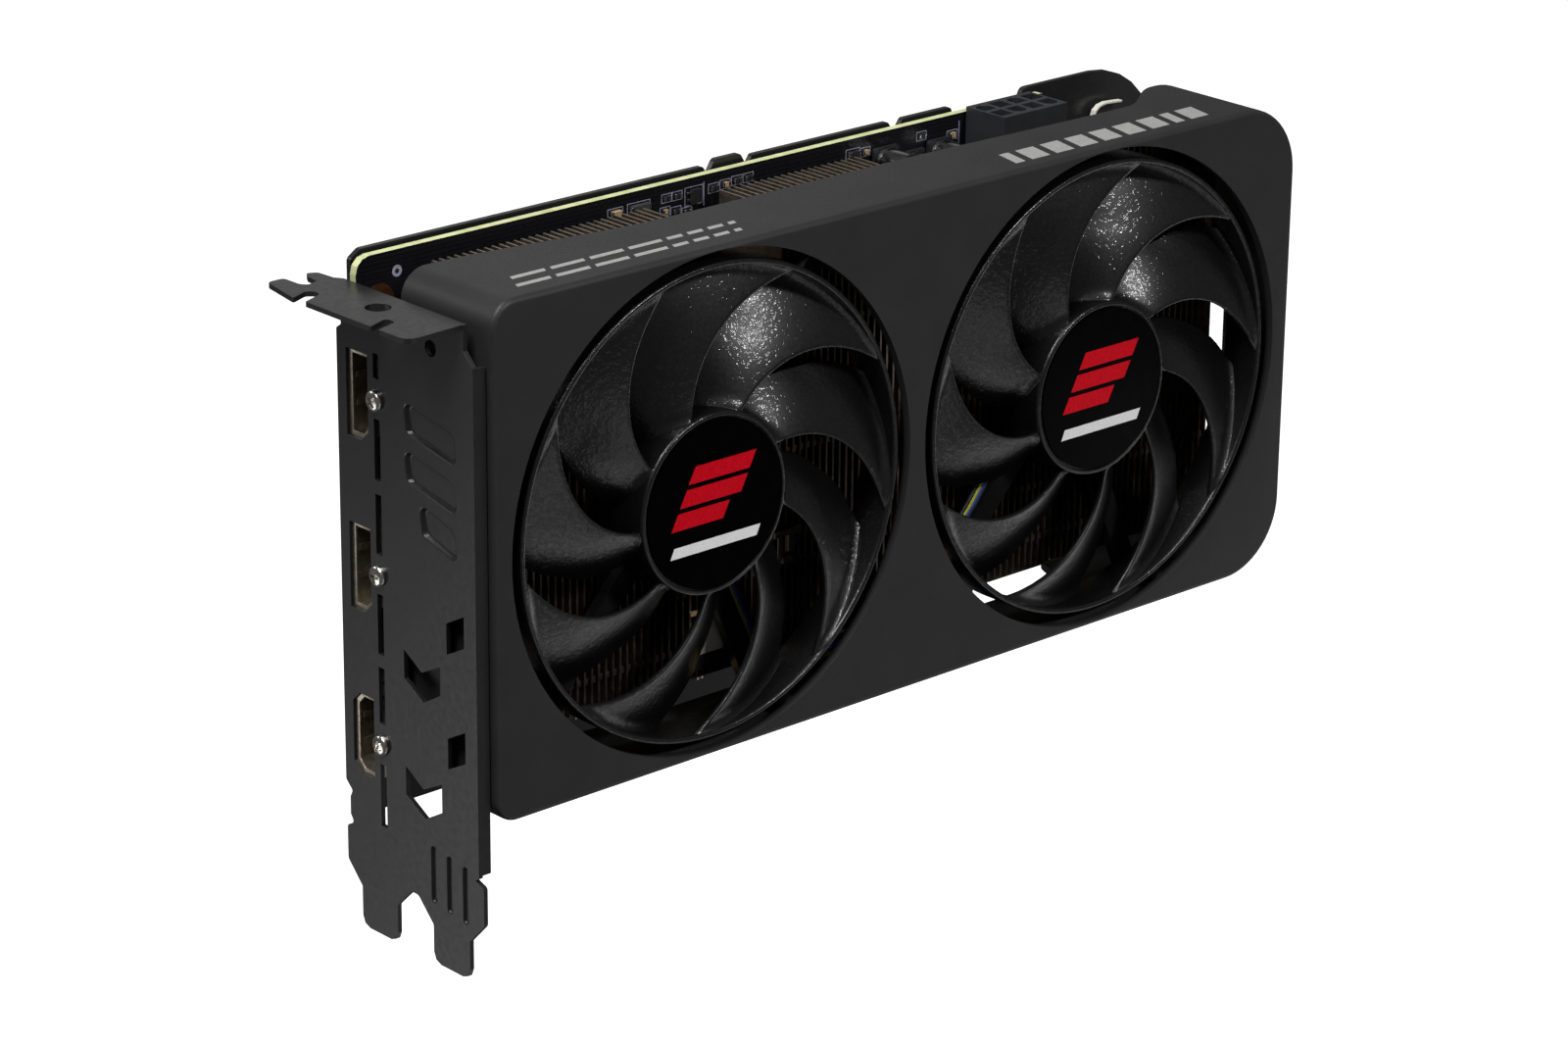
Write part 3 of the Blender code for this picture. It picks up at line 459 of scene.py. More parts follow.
LOOK = {
    "cover_plastic": moulded_plastic("cover_look", (0.0205, 0.02, 0.0203), (0.0245, 0.024, 0.0243), 0.46, 0.3, 0.35,
                                     0.03, True, 0.3),
    "fan_plastic": sparkling_plastic(),
    "arm_plastic": moulded_plastic("arm_look", (0.005, 0.005, 0.0052), (0.008, 0.008, 0.0082), 0.42, 0.5, 0.3, 0.03),
    "connector_plastic": moulded_plastic("nylon_look", (0.016, 0.017, 0.02), (0.022, 0.0235, 0.027), 0.38, 0.6, 0.2,
                                         0.02),
    "black_steel": powder_coat(),
    "board_laminate": board_look(),
    "label_film": glossy_film(),
    "fin_aluminium": worn_metal("fin_look", (0.3, 0.24, 0.18), (0.45, 0.39, 0.32), 0.4, 0.08, 2.5),
    "copper": worn_metal("copper_look", (0.5, 0.2, 0.1), (0.8, 0.42, 0.26), 0.28, 0.08, 3.0),
    "plated_metal": worn_metal("nickel_look", (0.5, 0.48, 0.44), (0.72, 0.7, 0.66), 0.22, 0.06, 1.5),
    "can_aluminium": worn_metal("can_look", (0.14, 0.14, 0.15), (0.26, 0.26, 0.26), 0.22, 0.05, 1.2, (1, 0.2, 1)),
    "bronze": worn_metal("bronze_look", (0.4, 0.25, 0.12), (0.6, 0.42, 0.22), 0.4),
    "winding_enamel": wound_copper(),
    "ferrite": sintered("ferrite_look", (0.02, 0.02, 0.022), (0.045, 0.045, 0.048)),
    "magnet_rubber": sintered("magnet_look", (0.015, 0.014, 0.013), (0.035, 0.033, 0.031)),
    "chip_resin": sintered("resin_look", (0.008, 0.008, 0.009), (0.016, 0.016, 0.017), 0.45),
    "pad_silicone": sintered("pad_look", (0.22, 0.24, 0.28), (0.32, 0.34, 0.38), 0.8),
    "silicon": worn_metal("silicon_look", (0.1, 0.11, 0.13), (0.18, 0.19, 0.21), 0.12, 0.03),
    "wire_jacket": moulded_plastic("jacket_black_look", (0.006, 0.006, 0.007), (0.01, 0.01, 0.012), 0.38, 0.8, 0.2,
                                   0.02),
}
JACKET_YELLOW = moulded_plastic("jacket_yellow_look", (0.62, 0.56, 0.02), (0.74, 0.68, 0.04), 0.38, 0.8, 0.2, 0.02)
JACKET_BLUE = moulded_plastic("jacket_blue_look", (0.03, 0.08, 0.4), (0.05, 0.12, 0.52), 0.38, 0.8, 0.2, 0.02)
PORT_METAL = worn_metal("port_look", (0.4, 0.35, 0.27), (0.62, 0.56, 0.46), 0.4, 0.1, 1.2)
GOLD = worn_metal("gold_look", (0.75, 0.48, 0.16), (0.95, 0.66, 0.28), 0.22, 0.05, 1.0)
SOLDER = worn_metal("solder_look", (0.6, 0.6, 0.6), (0.85, 0.85, 0.84), 0.25, 0.08, 0.6)
PAD_COPPER = worn_metal("pad_copper_look", (0.45, 0.17, 0.07), (0.62, 0.27, 0.11), 0.35, 0.05, 1.0)
SILK = ink("silk_ink_look", (0.26, 0.26, 0.36), (0.38, 0.38, 0.5))
GREY_INK = ink("grey_ink_look", (0.27, 0.27, 0.265), (0.33, 0.33, 0.325), 0.5)
RED_INK = ink("red_ink_look", (0.62, 0.0005, 0.009), (0.72, 0.0015, 0.014), 0.3, 0.12)
WHITE_INK = ink("white_ink_look", (0.88, 0.88, 0.88), (0.95, 0.95, 0.95), 0.3, 0.2)
CERAMIC_TAN = sintered("ceramic_tan_look", (0.3, 0.2, 0.11), (0.42, 0.3, 0.17), 0.45)
CREAM = sintered("cream_look", (0.55, 0.53, 0.45), (0.7, 0.68, 0.6), 0.6)

for entry in frame["record"]["subparts"]:
    node = frame["nodes"][entry["node"]]
    node.data.materials.clear()
    node.data.materials.append(LOOK[entry["material_slot"]])
    for polygon in node.data.polygons:
        polygon.material_index = 0


def round_edges(item, width_mm, segments, angle):
    modifier = item.modifiers.new("edges", "BEVEL")
    modifier.width = width_mm * MM
    modifier.segments = segments
    modifier.limit_method = "ANGLE"
    modifier.angle_limit = math.radians(angle)
    modifier.harden_normals = True


def soften(node_name, width_mm, segments=2):
    """Rounds the edges of a CAD node that keeps its shape."""
    round_edges(frame["nodes"][node_name], width_mm, segments, 35)


def piece(name, bm, looks=None, body="card", slot=None, stands_for=(), bevel_mm=0.0, sharp=32, segments=2,
          bevel_angle=40):
    """One named visible piece from a bmesh in millimetres, riding on a CAD body; it has its slot's look by default."""
    mesh = to_mesh(bm, name)
    mesh.transform(Matrix.Scale(MM, 4))
    for look in looks or [LOOK[slot]]:
        mesh.materials.append(look)
    mesh.shade_smooth()
    mesh.set_sharp_from_angle(angle=math.radians(sharp))
    made = bpy.data.objects.new(name, mesh)
    bpy.context.scene.collection.objects.link(made)
    if bevel_mm:
        round_edges(made, bevel_mm, segments, bevel_angle)
    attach(made, body)
    if stands_for:
        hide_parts(*stands_for)


# ------------------------------
# Cooler cover


def cover_outline(inset):
    low, high = COVER_LOW, COVER_HIGH
    left, right, bottom, top = low.x + inset, high.x - inset, low.z + inset, high.z - inset
    return fillet([(left, bottom, 5.0 - inset), (right, bottom, 14.2 - inset), (right, top, 14.2 - inset),
                   (left, top, 5.2 - inset)], 14)


def cover_back(x, wall):
    """How deep the cover's top or bottom wall reaches at x."""
    def ease(t):
        t = min(1.0, max(0.0, t))
        return t * t * (3 - 2 * t)

    start, length, taper, tail_depth = {"top": (172.0, 14.0, 1.6, 24.4),
                                        "bottom": (159.0, 5.0, 0.0, 28.5)}[wall]
    middle = 19.0 - taper * ease((x - 110.0) / 60.0)
    return middle + 5.4 * (1 - ease((x - 8.0) / 50.0)) + (tail_depth - middle) * ease((x - start) / length)


def cooler_cover():
    """The shell: rounded front edge, two openings with a small chamfer, and its shaped back edge."""
    steps = 7
    loops = [[place("Y", u, v, COVER_HIGH.y) for u, v in cover_outline(0.0)]]
    for step in range(steps + 1):
        angle = math.pi / 2 * step / steps
        inset = COVER_EDGE * (1 - math.cos(angle))
        y = FRONT + COVER_EDGE * (1 - math.sin(angle))
        loops.append([place("Y", u, v, y) for u, v in cover_outline(inset)])
    shell = bmesh.new()
    add_loops(shell, loops)
    tools = bmesh.new()
    add_prism(tools, cover_outline(COVER_WALL), "Y", FRONT + COVER_FACE, BEYOND_COVER)
    shell = cut_out(shell, tools)
    tools = bmesh.new()
    for axis in FAN.values():
        disc = [(0, FRONT - 1), (OPENING_RADIUS, FRONT - 1), (OPENING_RADIUS, FRONT + 3), (0, FRONT + 3)]
        add_lathe(tools, disc, 144, (axis.x, axis.z))
    shell = cut_out(shell, tools)
    for wall, bottom, top in (("top", FAN_Z, COVER_HIGH.z + 5), ("bottom", COVER_LOW.z - 5, FAN_Z)):
        tools = bmesh.new()
        stations = [COVER_LOW.x - 2] + [8.0 + 2.5 * k for k in range(21)]
        stations += [110.0 + 6.0 * k for k in range(8)] + [159.0 + 0.5 * k for k in range(55)]
        stations.append(COVER_HIGH.x + 2)
        behind = [(x, FRONT + cover_back(x, wall)) for x in stations]
        behind += [(COVER_HIGH.x + 2, BEYOND_COVER), (COVER_LOW.x - 2, BEYOND_COVER)]
        add_prism(tools, behind, "Z", bottom, top)
        shell = cut_out(shell, tools)
    tools = bmesh.new()
    low, high = EXHAUST
    notch = fillet([(EXHAUST_FRONT, low, 1.5), (BEYOND_COVER, low, 0), (BEYOND_COVER, high, 0),
                    (EXHAUST_FRONT, high, 1.5)], 4)
    add_prism(tools, notch, "X", COVER_HIGH.x - 6, COVER_HIGH.x + 3)
    shell = cut_out(shell, tools)
    piece("cover_shell", shell, slot="cover_plastic", stands_for=["cooler_cover"],
          bevel_mm=0.15, sharp=28)

    posts = bmesh.new()
    for axis in FAN.values():
        for degrees, reach in POST_REACH:
            angle = math.radians(degrees)
            profile = [(0, FRONT + 1.7), (1.5, FRONT + 1.7), (1.5, FRONT + 8.7), (1.8, FRONT + 9.7), (0, FRONT + 9.7)]
            add_lathe(posts, profile, 20, (axis.x + reach * math.cos(angle), axis.z + reach * math.sin(angle)))
    piece("cover_posts", posts, slot="arm_plastic")


def cover_marks():
    """Plain marks printed on the cover's top wall: thin open frames on the left, slanted bars on the right."""
    marks = bmesh.new()
    top = COVER_HIGH.z

    def mark(outline):
        add_prism(marks, outline, "Z", top - 0.05, top + PRINT)

    near, far, stroke, lean = FRONT + 4.6, FRONT + 9.8, 1.3, 0.5
    left = 12.4
    for width in (7.4, 7.4, 7.4, 7.4, 3.4, 3.4, 3.4, 1.6):
        for low, shift in ((near, 0.0), (far - stroke, 2.0)):
            start, end = left + shift, left + shift + width
            mark([(start, low), (end, low), (end + lean, low + stroke), (start + lean, low + stroke)])
        left += width + 1.3
    near, far, lean = FRONT + 3.4, FRONT + 9.4, 1.4
    left = 128.6
    for width in (2.4, 4.6, 4.6, 4.6, 4.6, 4.6, 4.6, 2.4, 4.6):
        mark([(left, near), (left + width, near), (left + width + lean, far), (left + lean, far)])
        left += width + 1.75
    piece("cover_marks", marks, [GREY_INK], slot="cover_plastic")


# ------------------------------
# Fans


def blade_lead(radius):
    beyond = radius - 30.0
    return 10.1 - 1.59 * beyond - 0.026 * beyond * beyond


def add_blade(bm, number, side):
    """One swept blade: rounded leading edge, thin trailing edge, and fillets into the hub and the ring."""
    radii = [16.4, 16.9, 17.1, 17.35, 17.7, 18.1, 18.7, 19.6] + [21.0 + 1.5 * k for k in range(14)]
    radii += [41.0, 41.5, 41.9, 42.2, 42.5, 42.7, 42.85, 43.0, 43.5]
    stations = [0.0, 0.006, 0.018, 0.04, 0.08, 0.14, 0.22, 0.31, 0.41, 0.51, 0.61, 0.71, 0.8, 0.88, 0.94, 0.98,
                1.0]
    axis = FAN[side]
    front, back = [], []
    for radius in radii:
        across = (radius - HUB_RADIUS) / (BLADE_TIP - HUB_RADIUS)
        root = max(0.0, 1 - max(0.0, radius - HUB_RADIUS) / 2.0) ** 2
        tip = max(0.0, 1 - max(0.0, BLADE_TIP - radius) / 2.2) ** 2
        chord = 27.5 + 0.6 * max(0.0, radius - 31.0)
        for s in stations:
            angle = math.radians(blade_lead(radius) + PHASE[side] + 360.0 * number / BLADES + chord * s)
            slope = 0.62 * s + 0.38 * s * s
            depth = 1.4 - 0.4 * across + 6.5 * slope
            round_lead = 1 - math.sqrt(max(0.0, 1 - (1 - min(1.0, s / 0.045)) ** 2))
            taper = 0.55 * max(0.0, (s - 0.75) / 0.25) ** 2
            thickness = 1.15 - 0.5 * s
            face = depth + 0.4 * round_lead - (0.9 * root + 1.1 * tip) * min(1.0, s / 0.15)
            rear = depth + thickness - 0.45 * round_lead - taper * 0.4 + 0.6 * root
            x = axis.x + radius * math.cos(angle)
            z = axis.z + radius * math.sin(angle)
            front.append(bm.verts.new((x, FRONT + face, z)))
            back.append(bm.verts.new((x, FRONT + rear, z)))
    rows, columns = len(radii), len(stations)
    for sheet in (front, back):
        for row in range(rows - 1):
            for column in range(columns - 1):
                corner = row * columns + column
                above = corner + columns
                bm.faces.new((sheet[corner], sheet[corner + 1], sheet[above + 1], sheet[above]))
    rim = list(range(columns)) + [row * columns + columns - 1 for row in range(1, rows)]
    rim += [(rows - 1) * columns + column for column in range(columns - 2, -1, -1)]
    rim += [row * columns for row in range(rows - 2, 0, -1)]
    for index, corner in enumerate(rim):
        after = rim[(index + 1) % len(rim)]
        bm.faces.new((front[corner], front[after], back[after], back[corner]))


def fan_rotor(side):
    """Hub, ring and blades of one fan."""
    axis = FAN[side]
    rotor = bmesh.new()
    for number in range(BLADES):
        add_blade(rotor, number, side)
    middle = (RING_INNER + RING_OUTER) / 2
    ring = []
    for step in range(7):
        angle = math.pi * step / 6
        ring.append((middle - 0.6 * math.cos(angle), FRONT + 1.05 - 0.55 * math.sin(angle)))
    ring += [(RING_OUTER, ROTOR_BACK - 0.2), (RING_OUTER - 0.2, ROTOR_BACK), (RING_INNER + 0.2, ROTOR_BACK),
             (RING_INNER, ROTOR_BACK - 0.2)]
    add_lathe(rotor, ring, 180, (axis.x, axis.z))
    hub = [(0, FRONT + 1.2), (LABEL_RADIUS + 0.3, FRONT + 1.2), (LABEL_RADIUS + 0.3, FRONT + 0.95)]
    for step in range(5):
        angle = math.pi / 2 * step / 4
        hub.append((LABEL_RADIUS + 0.5 - 0.2 * math.cos(angle), FRONT + 0.95 - 0.2 * math.sin(angle)))
    for step in range(7):
        angle = math.pi / 2 * step / 6
        hub.append((HUB_RADIUS - 0.6 + 0.6 * math.sin(angle), FRONT + 0.75 + 0.6 * (1 - math.cos(angle))))
    hub += [(HUB_RADIUS, ROTOR_BACK - 0.2), (HUB_RADIUS - 0.2, ROTOR_BACK), (15.2, ROTOR_BACK),
            (15.2, FRONT + 2.4), (0, FRONT + 2.4)]
    add_lathe(rotor, hub, 120, (axis.x, axis.z))
    piece("rotor_" + side, rotor, None, "fan_" + side, "fan_plastic", ["fan_rotor_" + side], sharp=38)


def label(side):
    """A gloss disc with a plain red mark of three slanted bars over a white bar."""
    axis = FAN[side]
    disc = bmesh.new()
    top = FRONT + 0.7
    profile = [(0, top + 0.2), (LABEL_RADIUS, top + 0.2), (LABEL_RADIUS, top + 0.06), (LABEL_RADIUS - 0.06, top),
               (0, top)]
    add_lathe(disc, profile, 96, (axis.x, axis.z))

    def bar(corners, slot):
        add_prism(disc, [(axis.x + u, axis.z + v) for u, v in corners], "Y", top - 0.03, top + 0.03, slot)

    for level, (left, right) in enumerate(((-4.6, 9.6), (-6.6, 7.6), (-8.6, 3.4))):
        high = 8.0 - 4.0 * level
        bar([(left - 1.6, high - 3.1), (right - 1.6, high - 3.1), (right, high), (left, high)], 1)
    bar([(-10.4, -8.2), (9.8, -8.2), (10.7, -6.2), (-9.5, -6.2)], 2)
    piece("label_" + side, disc, [LOOK["label_film"], RED_INK, WHITE_INK], "fan_" + side, "label_film",
          ["fan_label_" + side])


LEADS = {
    "left": [(66.0, -7.2, -6.5), (70.5, -7.9, -17.0), (75.5, -7.4, -26.5), (88.0, -6.0, -29.4),
             (104.0, -2.0, -29.6), (111.0, 3.0, -29.6), (113.0, 8.0, -29.6), (113.5, 9.6, -29.6)],
    "right": [(134.0, -7.6, 1.5), (126.5, -8.0, -8.0), (119.0, -7.0, -16.0), (117.6, -2.0, -18.5),
              (117.6, 4.0, -18.6), (117.6, 9.6, -18.6)],
}


def fan_wires(side):
    """Four jacketed wires, side by side and slightly twisted, from the motor to the header."""
    spine = smooth_route(LEADS[side], 8)
    wires = bmesh.new()
    for number in range(4):
        points = []
        for index, point in enumerate(spine):
            before, after = spine[max(0, index - 1)], spine[min(len(spine) - 1, index + 1)]
            tangent = (after - before).normalized()
            flat = tangent.cross(Vector((0, 1, 0)))
            flat = flat.normalized() if flat.length > 0.2 else Vector((1, 0, 0))
            up = flat.cross(tangent).normalized()
            spread = min(1.0, 0.7 + 0.02 * index)
            turn = 0.02 * index
            offset = (number - 1.5) * spread
            points.append(point + flat * offset * math.cos(turn) + up * offset * math.sin(turn))
        add_tube(wires, points, [WIRE_RADIUS] * len(points), 10, number)
    piece("fan_wires_" + side, wires, [LOOK["wire_jacket"], JACKET_YELLOW, JACKET_BLUE, LOOK["wire_jacket"]],
          slot="wire_jacket", stands_for=["fan_lead_" + side])


# ------------------------------
# Heatsink


def fin_outline(stack, x):
    """The outline (y, z) of the fin at x."""
    low, high = node_box(stack)
    if stack == "fin_stack_main":
        left, right, floor = FIN_NOTCH
        top = floor if left < x < right else high.z
        shallow = FIN_BACK["pipes" if x < BEND_START else "bend"]
        bottom, ceiling = FIN_RECESS
        return [(low.y, low.z), (high.y, low.z), (high.y, bottom), (shallow, bottom), (shallow, ceiling),
                (high.y, ceiling), (high.y, top), (low.y, top)]
    outline = [(low.y, low.z), (high.y, low.z)]
    for height in sorted(pipe_heights()):
        floor, ceiling = height - PIPE_SLOT, height + PIPE_SLOT
        outline += [(high.y, floor), (FIN_BACK["bend"], floor), (FIN_BACK["bend"], ceiling), (high.y, ceiling)]
    return outline + [(high.y, TAIL_STEP), (TAIL_BACK_UPPER, TAIL_STEP), (TAIL_BACK_UPPER, high.z),
                      (low.y, high.z)]


def pipe_heights():
    return [sum(v.z for v in node_box("heat_pipe_" + name)) / 2 for name in PIPES]


def fin_stack(stack, pitch=1.65, thickness=0.42):
    """Fins at their real pitch, with the folded tabs that lock them together."""
    low, high = node_box(stack)
    fins = bmesh.new()
    count = round((high.x - low.x - thickness) / pitch) + 1
    pitch = (high.x - low.x - thickness) / (count - 1)
    chance = random.Random(7)
    for number in range(count):
        x = low.x + pitch * number + chance.uniform(-0.03, 0.03) * (0 < number < count - 1)
        add_prism(fins, fin_outline(stack, x), "X", x, x + thickness)
        if number == count - 1:
            continue
        step = pitch + 0.02
        add_block(fins, (x + thickness, low.y, low.z), (x + step, high.y, low.z + FIN_FOLD))
        if stack == "fin_stack_tail":
            add_block(fins, (x + thickness, low.y, high.z - FIN_FOLD), (x + step, TAIL_BACK_UPPER, high.z))
        for z in (-20.4, -9.8, 12.0, 34.0):
            add_block(fins, (x + thickness, low.y, z), (x + thickness + 0.5, low.y + 0.3, z + 1.2))
    return fins


def base_parts():
    """What shows of the cooler's base between the blades: a pale pad on its ledge, a clip and a contact."""
    y = node_box("fin_stack_main")[0].y
    parts = bmesh.new()
    for left, right in ((59.6, 62.9), (63.05, 67.0)):
        add_block(parts, (left, y - 0.35, -21.6), (right, y + 0.1, -15.4), 0)
    add_block(parts, (59.4, y - 0.5, -24.6), (68.8, y + 0.1, -21.7), 1)
    add_block(parts, (59.0, y - 0.45, -13.7), (61.7, y + 0.1, -12.8), 2)
    clip = ((79.2, -3.7, 85.9, -2.4), (80.0, -8.4, 81.3, -3.6), (82.6, -6.9, 84.3, -3.6), (81.2, -8.9, 83.6, -7.6))
    for left, low, right, high in clip:
        add_block(parts, (left, y - 0.5, low), (right, y + 0.1, high), 3)
    piece("base_parts", parts, [CREAM, LOOK["black_steel"], CERAMIC_TAN, PORT_METAL], slot="plated_metal",
          bevel_mm=0.12)


def heatsink():
    base_parts()
    for stack in ("fin_stack_main", "fin_stack_tail"):
        piece("fins_" + stack[10:], fin_stack(stack), slot="fin_aluminium",
              stands_for=[stack])
    back, fore = PIPE_BACK, PIPE_FORE
    for name, z in zip(PIPES, pipe_heights()):
        route = [(30.0, back, z), (70.0, back, z), (103.0, back, z), (106.5, back - 0.4, z),
                 (112.2, (back + fore) / 2, z), (118.0, fore + 0.4, z), (121.4, fore, z), (160.0, fore, z),
                 (191.0, fore, z)]
        points = smooth_route(route, 8)
        radii = [1.2, 2.3] + [PIPE_RADIUS] * (len(points) - 4) + [2.3, 1.2]
        pipe = bmesh.new()
        add_tube(pipe, points, radii, 24)
        piece("pipe_" + name, pipe, slot="copper", stands_for=["heat_pipe_" + name], sharp=50)


# ------------------------------
# Bracket


def node_shape(name):
    """A CAD node's shape as a closed bmesh in millimetres."""
    shape = bmesh.new()
    shape.from_mesh(frame["nodes"][name].data)
    bmesh.ops.scale(shape, vec=(1 / MM, 1 / MM, 1 / MM), verts=shape.verts)
    bmesh.ops.remove_doubles(shape, verts=shape.verts, dist=0.002)
    bmesh.ops.dissolve_limit(shape, angle_limit=math.radians(1), verts=shape.verts, edges=shape.edges)
    return shape


def pressing(outline, depth, slope, round_over=0.25):
    """A closed tool that presses an outline of (y, z) into the bracket's outer face, with sloping sides."""
    middle = sum((Vector(point) for point in outline), Vector((0, 0))) / len(outline)
    loops = []
    for x, inset in ((-0.5, -round_over), (0.0, -round_over), (0.08, 0.0), (depth - 0.06, slope),
                     (depth, slope + 0.25)):
        loops.append([(x, *(Vector(point) + (middle - Vector(point)).normalized() * inset)) for point in outline])
    tool = bmesh.new()
    add_loops(tool, loops)
    return tool


def groove(y, top, bottom, width):
    """An outline of a straight groove with round ends."""
    half = width / 2
    return fillet([(y - half, bottom, half * 0.98), (y + half, bottom, half * 0.98),
                   (y + half, top, half * 0.98), (y - half, top, half * 0.98)], 5)


def add_lip(bm, name):
    """The flanged rim of a port's shell, which shows inside the plate's opening, and its two grounding springs."""
    low, high = node_box("video_port_" + name)
    slope = 2.0
    if name == "wide":
        corners = [(low.y, low.z), (low.y, high.z), (high.y - slope, high.z), (high.y, high.z - slope),
                   (high.y, low.z + slope), (high.y - slope, low.z)]
    else:
        corners = [(low.y, low.z + slope), (low.y, high.z), (high.y, high.z), (high.y, low.z),
                   (low.y + slope, low.z)]
    middle = Vector(((low.y + high.y) / 2, (low.z + high.z) / 2))
    count = len(corners)

    def moved(distance):
        outline = []
        for index in range(count):
            before, here, after = (Vector(corners[k % count]) for k in (index - 1, index, index + 1))
            normals = []
            for a, b in ((before, here), (here, after)):
                edge = (b - a).normalized()
                normal = Vector((-edge.y, edge.x))
                if normal.dot(middle - here) < 0:
                    normal.negate()
                normals.append(normal)
            bisector = (normals[0] + normals[1]).normalized()
            outline.append(here + bisector * (distance / bisector.dot(normals[0])))
        return outline

    front, back = 0.62, low.x + 0.05
    rings = [(moved(0.05), back), (moved(0.12), front), (moved(0.95), front + 0.12), (moved(0.95), back)]
    loops = [[bm.verts.new((x, *point)) for point in outline] for outline, x in rings]
    for ring, following in zip(loops, loops[1:] + loops[:1]):
        for index in range(count):
            after = (index + 1) % count
            bm.faces.new((ring[index], ring[after], following[after], following[index]))
    for level in (0.68, 0.36):
        z = low.z + (high.z - low.z) * level
        add_block(bm, (low.x + 0.3, high.y - 1.1, z - 0.55), (low.x + 3.2, high.y - 0.8, z + 0.55))


def bracket_details():
    """The slot plate with its pressed grooves and bars, its port screws and the ports' insides."""
    top = node_box("bracket")[1].z
    plate = node_shape("bracket")
    for number in range(3):
        y = 13.9 - 4.4 * number + FRONT
        z = top - 97.9 - 0.5 * number
        tool = bmesh.new()
        outline = groove(y, z, z - 10.6, 1.35)
        loops = []
        for x, inset in ((-0.5, -0.15), (0.0, -0.15), (0.1, 0.0), (0.4, 0.12), (0.55, 0.35)):
            loops.append([(x, y + (u - y) * (1 - inset / 0.7), v - inset * (1 if v > z - 5 else -1))
                          for u, v in outline])
        add_loops(tool, loops)
        plate = cut_out(plate, tool)
    for level in range(3):
        drop = -19.5 - 8.7 * level
        short = 4.0 * (level == 2)
        corners = [(7.0, drop - 0.6), (20.4 - short, drop + 2.0), (19.6 - short, drop - 3.6), (6.2, drop - 6.2)]
        outline = fillet([(y + FRONT, z + top, 1.2) for y, z in corners], 5)
        plate = cut_out(plate, pressing(outline, 0.75, 0.6))
    piece("bracket_plate", plate, slot="black_steel", stands_for=["bracket"], bevel_mm=0.12,
          segments=3, bevel_angle=45, sharp=8)

    for number in (1, 2, 3):
        low, high = node_box("port_screw_%d" % number)
        y, z = (low.y + high.y) / 2, (low.z + high.z) / 2
        head = bmesh.new()
        profile = [(0, -1.15), (0.9, -1.13), (1.4, -1.05), (1.75, -0.88), (1.95, -0.62), (2.02, -0.3), (2.0, -0.03),
                   (1.2, -0.03), (1.2, 4.5), (0, 4.5)]
        add_lathe(head, profile, 40, (y, z), "X")
        turn = math.radians(20 + 35 * number)
        for quarter in (0, 1):
            cross = bmesh.new()
            angle = turn + quarter * math.pi / 2
            along = Vector((math.cos(angle), math.sin(angle)))
            across = Vector((-along.y, along.x))
            arm = [Vector((y, z)) + along * (a * 1.2) + across * (b * 0.27)
                   for a, b in ((-1, -1), (1, -1), (1, 1), (-1, 1))]
            add_prism(cross, arm, "X", -2.0 - 0.01 * quarter, -0.55)
            head = cut_out(head, cross)
        piece("port_screw_head_%d" % number, head, slot="plated_metal",
              stands_for=["port_screw_%d" % number], bevel_mm=0.05)
    lips = bmesh.new()
    for name in ("upper", "lower", "wide"):
        soften("video_port_" + name, 0.1)
        frame["nodes"]["video_port_" + name].data.materials[0] = PORT_METAL
        soften("port_tongue_" + name, 0.08)
        add_lip(lips, name)
        low, high = node_box("port_tongue_" + name)
        contacts = bmesh.new()
        for number in range(PORT_CONTACTS):
            z = low.z + 0.8 + (high.z - low.z - 1.6) * number / (PORT_CONTACTS - 1)
            for y in (low.y - 0.04, high.y - 0.02):
                add_block(contacts, (low.x + 0.4, y, z - 0.22), (high.x - 0.3, y + 0.06, z + 0.22))
        piece("port_contacts_" + name, contacts, [GOLD], slot="plated_metal")
    piece("port_lips", lips, [PORT_METAL], slot="plated_metal", bevel_mm=0.06)


# ------------------------------
# Board


def add_chip(bm, x, z, wide, tall, high, kind):
    """A small part on the board's fan side: end caps and a body, or a body with short legs."""
    face = BOARD_LOW.y
    if kind == "legs":
        add_block(bm, (x - wide / 2, face - high, z - tall / 2), (x + wide / 2, face - 0.1, z + tall / 2), 3)
        legs = max(2, int(tall / 0.9))
        for number in range(legs):
            level = z - tall / 2 + tall * (number + 0.5) / legs
            for left in (x - wide / 2 - 0.6, x + wide / 2):
                add_block(bm, (left, face - 0.25, level - 0.18), (left + 0.6, face + PRINT, level + 0.18))
        return
    cap = min(0.35, wide * 0.25)
    slot = {"tan": 1, "grey": 2, "dark": 3}[kind]
    add_block(bm, (x - wide / 2 + cap, face - high, z - tall / 2),
              (x + wide / 2 - cap, face + PRINT, z + tall / 2), slot)
    for left in (x - wide / 2, x + wide / 2 - cap):
        add_block(bm, (left, face - high - 0.03, z - tall / 2 - 0.02),
                  (left + cap, face + PRINT, z + tall / 2 + 0.02))


def add_print(bm, left, low, right, high):
    """A printed line on the board's fan side."""
    add_block(bm, (left, BOARD_LOW.y - PRINT, low), (right, BOARD_LOW.y + PRINT, high))


def add_frame(bm, x, z, wide, tall):
    """A thin printed rectangle on the board's fan side."""
    line = 0.11
    left, right, low, high = x - wide / 2, x + wide / 2, z - tall / 2, z + tall / 2
    add_print(bm, left, low, right, low + line)
    add_print(bm, left, high - line, right, high)
    add_print(bm, left, low + line, left + line, high - line)
    add_print(bm, right - line, low + line, right, high - line)


